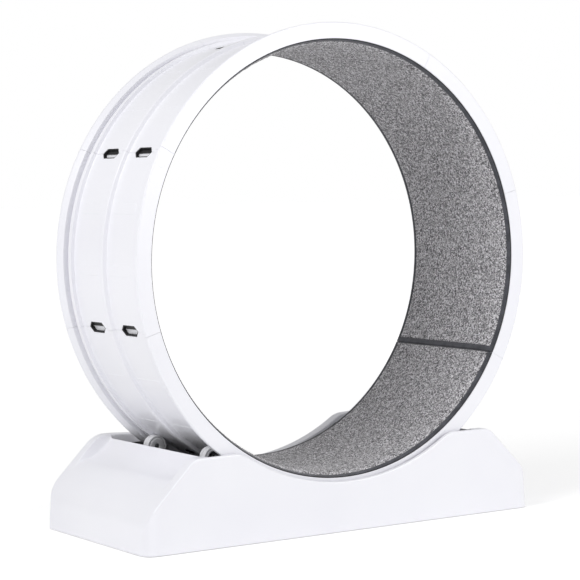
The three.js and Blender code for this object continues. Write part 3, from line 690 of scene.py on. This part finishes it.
def backing_strip(name, start, end):
    """The felt under one mat."""
    section = rounded_outline(BACKING_CORNERS, 1)
    steps = 144
    rows = [
        [at_rim(across, radius, start + (end - start) * step / steps) for across, radius in section]
        for step in range(steps + 1)
    ]
    return smoothed(faced_outward(mesh_piece(name, *lofted(rows), painted_shade_felt)), 40)


# The seam that holds the tape: one row of lockstitches in grey polyester thread, four
# millimetres apart and set into the tape a little in from its inner edge.
thread = grained(
    "polyester_thread", {"Roughness": 0.6, "IOR": 1.5, "Sheen Weight": 0.2}, 0.7, 1.0,
    [(0.3, "#4b4c53"), (0.7, "#6a6b72")], 0, 0,
)


def started_tree(name, sizes):
    """A geometry tree with a shape input, named sizes, a material input and a shape output."""
    tree = bpy.data.node_groups.new(name, "GeometryNodeTree")
    tree.interface.new_socket("Shape", in_out="INPUT", socket_type="NodeSocketGeometry")
    for size in sizes:
        tree.interface.new_socket(size, in_out="INPUT", socket_type="NodeSocketFloat")
    tree.interface.new_socket("Finish", in_out="INPUT", socket_type="NodeSocketMaterial")
    tree.interface.new_socket("Shape", in_out="OUTPUT", socket_type="NodeSocketGeometry")
    return tree, tree.nodes.new("NodeGroupInput"), tree.nodes.new("NodeGroupOutput")


def finished_tree(tree, given, made, instances):
    """Ends a tree in real meshes with their material."""
    real = add_node(tree, "GeometryNodeRealizeInstances", {}, {0: instances})
    dressed = add_node(
        tree,
        "GeometryNodeSetMaterial",
        {},
        {"Geometry": real.outputs[0], "Material": given.outputs["Finish"]},
    )
    tree.links.new(dressed.outputs[0], made.inputs[0])


def grown(piece, tree, values):
    """Runs a tree on a piece with values for its named inputs, and keeps the plain mesh."""
    modifier = piece.modifiers.new(tree.name, "NODES")
    modifier.node_group = tree
    for item in tree.interface.items_tree:
        if item.in_out == "INPUT" and item.name in values:
            modifier[item.identifier] = values[item.name]
    return settled(piece)


stitch_tree, stitch_given, stitch_made = started_tree(
    "lockstitches", ("Pitch", "Stitch Length", "Thread Radius")
)
stitch_line = add_node(
    stitch_tree, "GeometryNodeMeshToCurve", {}, {0: stitch_given.outputs["Shape"]}
)
stitch_places = add_node(
    stitch_tree,
    "GeometryNodeCurveToPoints",
    {"mode": "LENGTH"},
    {"Curve": stitch_line.outputs[0], "Length": stitch_given.outputs["Pitch"]},
)
stitch_ball = add_node(
    stitch_tree,
    "GeometryNodeMeshUVSphere",
    {"Segments": 6, "Rings": 4, "Radius": 1.0},
)
stitch_size = add_node(
    stitch_tree,
    "ShaderNodeCombineXYZ",
    {},
    {
        "X": stitch_given.outputs["Thread Radius"],
        "Y": stitch_given.outputs["Thread Radius"],
        "Z": stitch_given.outputs["Stitch Length"],
    },
)
stitch_rows = add_node(
    stitch_tree,
    "GeometryNodeInstanceOnPoints",
    {},
    {
        "Points": stitch_places.outputs["Points"],
        "Instance": stitch_ball.outputs["Mesh"],
        "Rotation": stitch_places.outputs["Rotation"],
        "Scale": stitch_size.outputs["Vector"],
    },
)
finished_tree(stitch_tree, stitch_given, stitch_made, stitch_rows.outputs[0])
STITCH_SHARE = 0.72
STITCH_RADIUS = 363.05


def tape_stitches(name, start, end, end_width):
    """The row of stitches all round one mat's tape."""
    loop = tape_loop(STITCH_SHARE, STITCH_RADIUS, start, end, end_width, 200)
    line = bpy.data.meshes.new(name)
    edges = [(point, (point + 1) % len(loop)) for point in range(len(loop))]
    line.from_pydata([tuple(point) for point in loop], edges, [])
    stitches = bpy.data.objects.new(name, line)
    bpy.context.scene.collection.objects.link(stitches)
    return grown(stitches, stitch_tree, {
        "Pitch": 4 * MM,
        "Stitch Length": 1.5 * MM,
        "Thread Radius": 0.32 * MM,
        "Finish": thread,
    })


END_TAPE = 9.5
TUCKED_TAPE = 2.0
MAT_GAP = 0.08
for number in (1, 2):
    start = MAT_JOINT_ANGLE + 180 * (number - 1) + MAT_GAP
    end = start + 180 - 2 * MAT_GAP
    width = END_TAPE if number == 1 else TUCKED_TAPE
    inset = math.degrees(width / MAT_FRONT)
    mat = pile_mat(f"pile_mat_{number}", start + inset, end - inset, seed=number)
    tape = mat_tape(f"mat_tape_{number}", start, end, width)
    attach(mat, "wheel")
    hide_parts(f"mat_{number}")
    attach(tape, "wheel")
    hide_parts(f"mat_binding_{number}")
    felt = backing_strip(f"mat_felt_{number}", start, end)
    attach(felt, "wheel")
    stitches = tape_stitches(f"tape_stitches_{number}", start, end, width)
    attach(stitches, "wheel")

# ---- The rollers ----
# Four small wheels of white nylon with pale rubber tyres that have a groove between two rims.
# Each has a ball bearing pressed in from behind and turns on a steel axle in a bracket.
roller_nylon = moulded("moulded_white_nylon", "#e4e4e7", "#dadadd", 0.42, 9, 0.9)
tyre_rubber = moulded("pale_tyre_rubber", "#ececee", "#e2e2e5", 0.55, 6, 0.7)


def metal(name, colour, dark, roughness, marks_mm):
    """Steel with fine marks of its finish."""
    return grained(
        name, {"Metallic": 1.0, "Roughness": roughness}, marks_mm, 3.0,
        [(0.3, dark), (0.7, colour)], 0.02, 0.5,
    )


bearing_steel = metal("ground_bearing_steel", "#b6b8bb", "#8f9194", 0.3, 1.5)

ROLLER_RADIUS = 18.4
HUB_RADIUS = 15.0
TURNED_STEPS = 64
ROLLER_PLACES = ("front_left", "front_right", "back_left", "back_right")


def turned(name, corners, surface, placed):
    """A round piece. Corners are radius, place along the axis and rounding.

    placed(radius, along, turn) gives a point of it.
    """
    outline = rounded_outline(corners, 3)
    rows = []
    for step in range(TURNED_STEPS):
        turn = 2 * math.pi * step / TURNED_STEPS
        rows.append([placed(radius, along, turn) for radius, along in outline])
    rows.append(rows[0])
    points, faces = lofted(rows)
    return smoothed(faced_outward(mesh_piece(name, points, faces[:-2], surface)), 40)


def on_roller_axis(centre, toward):
    """Places for a piece about an axis along Y, counted towards the bracket."""
    return lambda radius, along, turn: centre + MM * Vector(
        (radius * math.cos(turn), toward * along, radius * math.sin(turn))
    )


# Sizes along each axis run from the roller's inner face, at -9, towards its bracket.
HUB_CORNERS = [
    (4.75, -9.0, 0.5),
    (HUB_RADIUS - 2.2, -9.0, 0.6),
    (HUB_RADIUS - 1.4, -8.2, 0.4),
    (HUB_RADIUS, -8.2, 0.5),
    (HUB_RADIUS, 8.2, 0.5),
    (HUB_RADIUS - 1.4, 9.0, 0.4),
    (11.3, 9.0, 0.4),
    (11.3, -6.5, 0.3),
    (4.75, -6.5, 0.3),
]
TYRE_CORNERS = [
    (HUB_RADIUS + 0.3, -8.5, 0.4),
    (ROLLER_RADIUS, -8.5, 1.2),
    (ROLLER_RADIUS, -3.4, 0.9),
    (ROLLER_RADIUS - 1.5, -2.6, 0.6),
    (ROLLER_RADIUS - 1.5, 2.6, 0.6),
    (ROLLER_RADIUS, 3.4, 0.9),
    (ROLLER_RADIUS, 8.5, 1.2),
    (HUB_RADIUS + 0.3, 8.5, 0.4),
]
BEARING_CORNERS = [
    (4.3, -6.2, 0.3),
    (6.2, -6.2, 0.2),
    (6.4, -5.7, 0.2),
    (9.0, -5.7, 0.2),
    (9.2, -6.2, 0.2),
    (11.0, -6.2, 0.5),
    (11.0, 0.8, 0.5),
    (9.2, 0.8, 0.2),
    (9.0, 0.3, 0.2),
    (6.4, 0.3, 0.2),
    (6.2, 0.8, 0.2),
    (4.3, 0.8, 0.3),
]
AXLE_CORNERS = [
    (0.001, -7.5, 0.0),
    (4.0, -7.5, 0.6),
    (4.0, 16.3, 0.2),
    (6.5, 16.3, 0.4),
    (6.5, 19.3, 1.0),
    (2.6, 19.3, 0.3),
    (2.6, 17.6, 0.2),
    (0.001, 17.6, 0.0),
]
for place_name in ROLLER_PLACES:
    centre = Vector(joints[f"roller_{place_name}_spin"]["pos_m"])
    toward = 1 if place_name.startswith("back") else -1
    on_axis = on_roller_axis(centre, toward)
    body = f"roller_{place_name}"
    for kind, corners, surface, slot in (
        ("roller", HUB_CORNERS, roller_nylon, "roller_nylon"),
        ("tyre", TYRE_CORNERS, tyre_rubber, "roller_tyre"),
        ("bearing", BEARING_CORNERS, bearing_steel, "steel"),
    ):
        piece = turned(f"turned_{kind}_{place_name}", corners, surface, on_axis)
        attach(piece, body)
        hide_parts(f"{kind}_{place_name}")
    axle = turned(f"turned_axle_{place_name}", AXLE_CORNERS, bearing_steel, on_axis)
    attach(axle, "base")
    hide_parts(f"axle_{place_name}")

# ---- The brackets and the tray ----
# Glass-filled nylon uprights carry the axles, and a tray lines the base's well. Both are
# moulded with a fine grain. Their near-black colour is painted shade: it stands in for the deep
# shadow in the well.
painted_shade_nylon = moulded("glass_filled_nylon_painted_shade", "#151517", "#0e0e10", 0.5, 30, 0.9)
for place_name in ROLLER_PLACES:
    node = f"bracket_{place_name}"
    bracket = softened_copy(node, f"moulded_{node}", 0.6, painted_shade_nylon)
    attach(bracket, "base")
    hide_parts(node)
tray = softened_copy("base_tray", "moulded_tray", 0.5, painted_shade_nylon)
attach(tray, "base")
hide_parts("base_tray")

# ---- The screws ----
# Zinc-plated pan-head screws, 4 mm thread, hold the brackets' feet to the tray and the tray to
# the shell's ledge. Their heads have a cross recess.
zinc_plate = metal("zinc_plated_steel", "#c3c5c8", "#96989c", 0.32, 1.1)
screw_tree, screw_given, screw_made = started_tree(
    "pan_head_screws", ("Head Radius", "Head Height")
)
head_shares = [
    add_node(
        screw_tree,
        "ShaderNodeMath",
        {"operation": "MULTIPLY", 1: share},
        {0: screw_given.outputs["Head Radius"]},
    ).outputs["Value"]
    for share in (0.7, 1.05, 0.24)
]
top_radius, slot_length, slot_width = head_shares
screw_head = add_node(
    screw_tree,
    "GeometryNodeMeshCone",
    {"Vertices": 20, "Side Segments": 1},
    {
        "Radius Bottom": screw_given.outputs["Head Radius"],
        "Radius Top": top_radius,
        "Depth": screw_given.outputs["Head Height"],
    },
)
recess_bars = []
for long_axis, short_axis in (("X", "Y"), ("Y", "X")):
    bar_size = add_node(
        screw_tree,
        "ShaderNodeCombineXYZ",
        {},
        {
            long_axis: slot_length,
            short_axis: slot_width,
            "Z": screw_given.outputs["Head Height"],
        },
    )
    bar = add_node(screw_tree, "GeometryNodeMeshCube", {}, {"Size": bar_size.outputs["Vector"]})
    lift = add_node(
        screw_tree,
        "ShaderNodeCombineXYZ",
        {},
        {"Z": screw_given.outputs["Head Height"]},
    )
    recess_bars.append(add_node(
        screw_tree,
        "GeometryNodeTransform",
        {},
        {"Geometry": bar.outputs["Mesh"], "Translation": lift.outputs["Vector"]},
    ))
recessed = screw_head.outputs["Mesh"]
for bar in recess_bars:
    cut = add_node(
        screw_tree,
        "GeometryNodeMeshBoolean",
        {"operation": "DIFFERENCE"},
        {"Mesh 1": recessed, "Mesh 2": bar.outputs["Geometry"]},
    )
    recessed = cut.outputs["Mesh"]
screw_places = add_node(
    screw_tree, "GeometryNodeMeshToPoints", {}, {"Mesh": screw_given.outputs["Shape"]}
)
screws_set = add_node(
    screw_tree,
    "GeometryNodeInstanceOnPoints",
    {},
    {"Points": screw_places.outputs["Points"], "Instance": recessed},
)
finished_tree(screw_tree, screw_given, screw_made, screws_set.outputs[0])

BRACKET_FOOT_TOP = 12.1
TRAY_INSIDE = 6.8
BRACKET_SCREW_X = 18
BRACKET_SCREW_Y = 25
TRAY_SCREW_X = 268
TRAY_SCREW_Y = (-155, -50, 45, 144)
screw_points = []
for place_name in ROLLER_PLACES:
    centre = Vector(joints[f"roller_{place_name}_spin"]["pos_m"])
    toward = 1 if place_name.startswith("back") else -1
    for side in (-1, 1):
        screw_points.append((
            centre.x + side * BRACKET_SCREW_X * MM,
            centre.y + toward * BRACKET_SCREW_Y * MM,
            BRACKET_FOOT_TOP * MM,
        ))
for side in (-1, 1):
    for along in TRAY_SCREW_Y:
        screw_points.append((side * TRAY_SCREW_X * MM, along * MM, TRAY_INSIDE * MM))
screws = grown(mesh_piece("pan_head_screws", screw_points, []), screw_tree, {
    "Head Radius": 3.8 * MM,
    "Head Height": 2.4 * MM,
    "Finish": zinc_plate,
})
smoothed(screws, 30)
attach(screws, "base")

# ---- The base shell ----
# One large moulding of the same white ABS, open below. Its top is a smooth surface: saddles in
# the front and back walls, bevelled ends, and a scoop between the walls at each end.
BASE_HALF_LENGTH = 399.0
TOP_HALF_LENGTH = 395.5
BASE_HALF_DEPTH = 179.0
BASE_BOTTOM = 1.0
BASE_TOP = 151.3
BACK_TOP = 155.6
END_HEIGHT = 44.0
CORNER_RADIUS = 22.0
WALL_DEPTH = 22.0
LIP_DEPTH = 9.0
HALF_WELL = 276.5
EDGE_ROUNDING = 3.2
SHELL_SKIN = 3.5
SADDLE_RADIUS = 386.0
SADDLE_CENTRE = 472.0


def bent(first, control, last, steps):
    """Points of a curve that leaves first and reaches last, drawn towards control."""
    points = []
    for step in range(1, steps + 1):
        t = step / steps
        points.append(tuple(
            a * (1 - t) ** 2 + b * 2 * t * (1 - t) + c * t ** 2
            for a, b, c in zip(first, control, last)
        ))
    return points


def saddle_height(x):
    """The height of the saddle's round edge."""
    return SADDLE_CENTRE - math.sqrt(SADDLE_RADIUS ** 2 - x ** 2)


def height_at(line, x):
    """The height of a line of points, in order of x, at one x."""
    if x <= line[0][0]:
        return line[0][1]
    for (x0, z0), (x1, z1) in zip(line, line[1:]):
        if x <= x1:
            return z0 + (z1 - z0) * (x - x0) / (x1 - x0)
    return line[-1][1]


# The walls run from the saddle over a flat top and a straight bevel to the steep end.
saddle_edge = math.sqrt(SADDLE_RADIUS ** 2 - (SADDLE_CENTRE - BASE_TOP) ** 2)
saddle_last = saddle_edge - 12
wall_line = [(x, saddle_height(x)) for x in range(0, int(saddle_last), 4)]
wall_line.append((saddle_last, saddle_height(saddle_last)))
wall_line += bent(wall_line[-1], (saddle_edge + 1, BASE_TOP), (saddle_edge + 14, BASE_TOP), 10)
wall_line.append((298.0, BASE_TOP - 0.8))
bevel_top = (317.0, 140.0)
bevel_foot = (373.0, 84.5)
wall_line += bent(wall_line[-1], (307.0, BASE_TOP - 1.4), bevel_top, 8)
end_curve = bent(bevel_foot, (393.0, 64.25), (TOP_HALF_LENGTH, END_HEIGHT), 14)
wall_line += [bevel_foot] + end_curve
back_line = [(x, z) for x, z in wall_line if x <= saddle_last]
back_line += bent(
    back_line[-1], (saddle_edge + 1, BACK_TOP - 2.6), (saddle_edge + 16, BACK_TOP - 2), 10
)
back_line.append((268.0, BACK_TOP))
back_line.append((283.0, BACK_TOP))
back_line += bent(back_line[-1], (301.0, BACK_TOP - 0.4), bevel_top, 12)
back_line += [bevel_foot] + end_curve
# The scoop leaves the well steeply, flattens, and joins the bevel's line.
scoop_line = [(HALF_WELL, 150.4)]
scoop_line += bent(scoop_line[0], (303, 124), (330, 116), 12)
scoop_line += bent(scoop_line[-1], (349, 110.4), bevel_foot, 10)
scoop_line += end_curve


def eased(value, low, high):
    """A smooth rise from 0 at low to 1 at high."""
    t = min(1.0, max(0.0, (value - low) / (high - low)))
    return t * t * (3 - 2 * t)


def rim_drop(distance):
    """How far a rounded edge falls at a distance in from the edge."""
    inward = min(distance, EDGE_ROUNDING)
    if inward <= 0:
        return EDGE_ROUNDING
    return EDGE_ROUNDING - math.sqrt(EDGE_ROUNDING ** 2 - (EDGE_ROUNDING - inward) ** 2)


def inside_plan(x, y):
    """Distance in from the base's outline as seen from above."""
    dx = abs(x) - (TOP_HALF_LENGTH - CORNER_RADIUS)
    dy = abs(y) - (BASE_HALF_DEPTH - CORNER_RADIUS)
    if dx > 0 and dy > 0:
        return CORNER_RADIUS - math.hypot(dx, dy)
    return min(TOP_HALF_LENGTH - abs(x), BASE_HALF_DEPTH - abs(y))


WELL_FRONT = -BASE_HALF_DEPTH + LIP_DEPTH
WELL_BACK = BASE_HALF_DEPTH - WALL_DEPTH


def outside_well(x, y):
    """Distance out from the well's edge."""
    dx = abs(x) - HALF_WELL
    dy = max(WELL_FRONT - y, y - WELL_BACK)
    if dx > 0 and dy > 0:
        return math.hypot(dx, dy)
    return max(dx, dy)


WALL_FOOT = 9.5


def wall_share(past_wall):
    """How much of a wall's height over the scoop is left: a steep face and a long round foot."""
    t = min(1.0, max(0.0, (past_wall + 1.5) / WALL_FOOT))
    return (1 - t) ** 4 * (1 + 4 * t)


def shell_height(x, y):
    """The height of the shell's top surface."""
    wall = height_at(wall_line if y < 0 else back_line, abs(x))
    scoop = height_at(scoop_line, abs(x))
    past_wall = BASE_HALF_DEPTH - WALL_DEPTH - abs(y)
    top = wall if abs(x) < HALF_WELL - 6 else scoop + (wall - scoop) * wall_share(past_wall)
    return top - max(rim_drop(inside_plan(x, y)), rim_drop(outside_well(x, y)))


def spaced(stops):
    """Places between stops. Each stop is a place and the spacing up to it."""
    places = [stops[0][0]]
    for (low, _), (high, spacing) in zip(stops, stops[1:]):
        count = max(1, round((high - low) / spacing))
        places += [low + (high - low) * step / count for step in range(1, count + 1)]
    return places


half_x = spaced([(0, 0), (180, 5), (232, 2), (270, 6), (284, 0.7), (322, 2), (373, 3)])
half_x += [x for x, _ in end_curve]
x_places = [-x for x in half_x[:0:-1]] + half_x
y_places = spaced([
    (-179, 0), (-175, 0.5), (-171, 1.5), (-164, 0.7), (-142, 1), (-120, 6), (120, 16), (142, 6),
    (164, 1), (175, 1.2), (179, 0.5),
])
columns = len(x_places)
top_points = [
    MM * Vector((x, y, shell_height(x, y))) for y in y_places for x in x_places
]
low_points = [MM * Vector((x, y, BASE_BOTTOM)) for y in y_places for x in x_places]
rows_count = len(y_places)
top_count = len(top_points)
shell_faces = []
for row in range(rows_count - 1):
    for column in range(columns - 1):
        a = row * columns + column
        shell_faces.append((a, a + 1, a + columns + 1, a + columns))
        b = a + top_count
        shell_faces.append((b, b + columns, b + columns + 1, b + 1))
border = list(range(columns))
border += [row * columns + columns - 1 for row in range(1, rows_count)]
border += [top_count - 1 - step for step in range(1, columns)]
border += [row * columns for row in range(rows_count - 2, 0, -1)]
for here, beside in zip(border, border[1:] + border[:1]):
    shell_faces.append((beside, here, here + top_count, beside + top_count))
shell = faced_outward(
    mesh_piece("moulded_base_shell", top_points + low_points, shell_faces, white_abs)
)


def plan_prism(name, half_x, half_y, radius, low, high):
    """An upright block with round corners."""
    outline = []
    for turn, (sx, sy) in zip((0, 90, 180, 270), ((1, 1), (-1, 1), (-1, -1), (1, -1))):
        for step in range(13):
            angle = math.radians(turn + 90 * step / 12)
            outline.append((
                sx * (half_x - radius) + radius * math.cos(angle),
                sy * (half_y - radius) + radius * math.sin(angle),
            ))
    rows = [[MM * Vector((x, y, z)) for x, y in outline] for z in (low, high)]
    return faced_outward(mesh_piece(name, *lofted(rows), white_abs))


def crate(name, low, high):
    """A plain block used as a cutter or a ledge."""
    corners = [(low[0], low[1]), (high[0], low[1]), (high[0], high[1]), (low[0], high[1])]
    rows = [[MM * Vector((x, y, z)) for x, y in corners] for z in (low[2], high[2])]
    return faced_outward(mesh_piece(name, *lofted(rows), white_abs))


def under_top(name, x_range, y_range, skin, x_steps=10):
    """A cutter from below that stops a skin short of the shell's top."""
    top_row = []
    low_row = []
    for step in range(x_steps + 1):
        x = x_range[0] + (x_range[1] - x_range[0]) * step / x_steps
        heights = [shell_height(x, y) for y in (y_range[0], sum(y_range) / 2, y_range[1])]
        top_row.append((x, min(heights) - skin))
        low_row.append((x, -10))
    outline = low_row + top_row[::-1]
    rows = [[MM * Vector((x, y, z)) for x, z in outline] for y in y_range]
    return faced_outward(mesh_piece(name, *lofted(rows), white_abs))


carved(shell, "INTERSECT", [plan_prism(
    "plan", TOP_HALF_LENGTH - 0.05, BASE_HALF_DEPTH - 0.05, CORNER_RADIUS, 0, 200
)])
cutters = [crate("well", (-HALF_WELL, WELL_FRONT, -5), (HALF_WELL, WELL_BACK, 300))]
SHELL_RIB = 3.0
SHELL_RIBS = 4
BAY_SKIN = 5.0
BAY_INSET = 4.0
END_WALL = 8.0
BACK_SKIN = 7.0
rib_pitch = 2 * (BASE_HALF_DEPTH - WALL_DEPTH) / (SHELL_RIBS + 1)
bay_edges = [-BASE_HALF_DEPTH + SHELL_SKIN]
for rib in range(SHELL_RIBS):
    rib_middle = -BASE_HALF_DEPTH + WALL_DEPTH + (rib + 1) * rib_pitch
    bay_edges += [rib_middle - SHELL_RIB / 2, rib_middle + SHELL_RIB / 2]
bay_edges.append(BASE_HALF_DEPTH - SHELL_SKIN)
for side in (-1, 1):
    ends = sorted((side * (HALF_WELL + SHELL_SKIN), side * (TOP_HALF_LENGTH - END_WALL)))
    for low, high in zip(bay_edges[::2], bay_edges[1::2]):
        cutters.append(under_top("bay", ends, (low + BAY_INSET, high - BAY_INSET), BAY_SKIN))
cutters.append(under_top(
    "back_wall_hollow", (-HALF_WELL + BAY_INSET, HALF_WELL - BAY_INSET),
    (WELL_BACK + SHELL_SKIN, BASE_HALF_DEPTH - SHELL_SKIN), BACK_SKIN, 24,
))
carved(shell, "DIFFERENCE", cutters)
LEDGE_WIDTH = 12.0
LEDGE_TOP = 4.0
carved(shell, "UNION", [
    crate("ledge", (low_x, low_y, BASE_BOTTOM), (high_x, high_y, LEDGE_TOP))
    for low_x, low_y, high_x, high_y in (
        (-HALF_WELL - 1, WELL_FRONT - 1, -HALF_WELL + LEDGE_WIDTH, WELL_BACK + 1),
        (HALF_WELL - LEDGE_WIDTH, WELL_FRONT - 1, HALF_WELL + 1, WELL_BACK + 1),
        (-HALF_WELL, WELL_FRONT - 1, HALF_WELL, WELL_FRONT + LEDGE_WIDTH),
        (-HALF_WELL, WELL_BACK - LEDGE_WIDTH, HALF_WELL, WELL_BACK + 1),
    )
])
# The ends lean out towards the foot, as the mould's draft asks.
LEAN_START = 330
for vertex in shell.data.vertices:
    lean = eased(abs(vertex.co.x) / MM, LEAN_START, bevel_foot[0])
    fall = min(1.0, max(0.0, (END_HEIGHT - vertex.co.z / MM) / (END_HEIGHT - BASE_BOTTOM)))
    reach = (BASE_HALF_LENGTH - TOP_HALF_LENGTH) * lean * fall
    vertex.co.x += math.copysign(reach * MM, vertex.co.x)
smoothed(shell, 38)
shell_normals = shell.modifiers.new("weighted normals", "WEIGHTED_NORMAL")
shell_normals.keep_sharp = True
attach(shell, "base")
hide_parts("base_shell")

# ---- The feet ----
# Four round pads of black rubber with a soft edge keep the base from sliding. Each is moulded
# with a stem that is pressed into a boss under the shell.
foot_rubber = grained(
    "black_foot_rubber", {"Roughness": 0.85, "IOR": 1.52}, 1.2, 2.0,
    [(0.3, "#17171a"), (0.7, "#26262a")], 0.08, 0.6,
)
FOOT_CORNERS = [
    (0.001, 0.0, 0.0),
    (14.0, 0.0, 0.9),
    (14.0, 2.7, 0.3),
    (5.0, 2.7, 0.2),
    (5.0, 12.0, 0.8),
    (0.001, 12.0, 0.0),
]
for number in range(1, 5):
    low, high = (Vector(corner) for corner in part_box(f"foot_{number}"))
    middle = (low + high) / 2
    foot = turned(
        f"rubber_foot_{number}", FOOT_CORNERS, foot_rubber,
        lambda radius, height, turn, middle=middle: Vector((middle.x, middle.y, 0))
        + MM * Vector((radius * math.cos(turn), radius * math.sin(turn), height)),
    )
    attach(foot, "base")
    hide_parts(f"foot_{number}")

# ---- The room ----
# A plain white floor and backdrop, and plain studio light: an even sky, one large soft lamp in
# front to the right, and one high at the left.
floor_white, floor_shader = started_material("floor_white", {
    "Base Color": linear("#f4f4f4"),
    "Roughness": 0.9,
    "Emission Color": (1, 1, 1, 1),
})
# The camera sees the floor a little brighter than it is lit, so that it stays white far off.
floor_rays = add_node(floor_white, "ShaderNodeLightPath", {})
camera_or_glossy = add_node(
    floor_white,
    "ShaderNodeMath",
    {"operation": "MAXIMUM"},
    {0: floor_rays.outputs["Is Camera Ray"], 1: floor_rays.outputs["Is Glossy Ray"]},
)
from_middle = add_node(
    floor_white, "ShaderNodeVectorMath", {"operation": "LENGTH"}, {0: object_place(floor_white)}
)
floor_lift = add_node(
    floor_white,
    "ShaderNodeMapRange",
    {"From Min": 0.5, "From Max": 3.5, "To Min": 0.33, "To Max": 0.56},
    {"Value": from_middle.outputs["Value"]},
)
floor_seen = add_node(
    floor_white,
    "ShaderNodeMath",
    {"operation": "MULTIPLY"},
    {0: camera_or_glossy.outputs["Value"], 1: floor_lift.outputs["Result"]},
)
floor_white.node_tree.links.new(
    floor_seen.outputs["Value"], floor_shader.inputs["Emission Strength"]
)
FLOOR_REACH = 40
FLOOR_HEIGHT = -0.0005
floor_corners = [
    (side_x * FLOOR_REACH, side_y * FLOOR_REACH, FLOOR_HEIGHT)
    for side_x, side_y in ((-1, -1), (1, -1), (1, 1), (-1, 1))
]
floor = mesh_piece("floor", floor_corners, [(0, 1, 2, 3)], floor_white)
SKY_LEVEL = 0.53
world = bpy.data.worlds.new("studio")
world.use_nodes = True
sky = world.node_tree.nodes["Background"]
sky.inputs["Color"].default_value = (1, 1, 1, 1)
sky_rays = add_node(world, "ShaderNodeLightPath", {})
seen = add_node(
    world,
    "ShaderNodeMath",
    {"operation": "MAXIMUM"},
    {0: sky_rays.outputs["Is Camera Ray"], 1: sky_rays.outputs["Is Transmission Ray"]},
)
sky_level = add_node(
    world,
    "ShaderNodeMath",
    {"operation": "MULTIPLY_ADD", 1: 1 - SKY_LEVEL, 2: SKY_LEVEL},
    {0: seen.outputs["Value"]},
)
world.node_tree.links.new(sky_level.outputs["Value"], sky.inputs["Strength"])
bpy.context.scene.world = world


def soft_lamp(name, place, target, size, power):
    """A round area lamp that faces a target."""
    data = bpy.data.lights.new(name, "AREA")
    data.shape = "DISK"
    data.size = size
    data.energy = power
    lamp = bpy.data.objects.new(name, data)
    lamp.location = place
    lamp.rotation_euler = (Vector(target) - Vector(place)).to_track_quat("-Z", "Y").to_euler()
    bpy.context.scene.collection.objects.link(lamp)


soft_lamp("front_lamp", (1.4, -3.0, 1.2), (0, 0, 0.45), 1.4, 34.5)
soft_lamp("left_lamp", (-2.8, -0.7, 2.6), (0, 0, 0.35), 1.4, 50)
bpy.context.scene.view_settings.view_transform = "Standard"
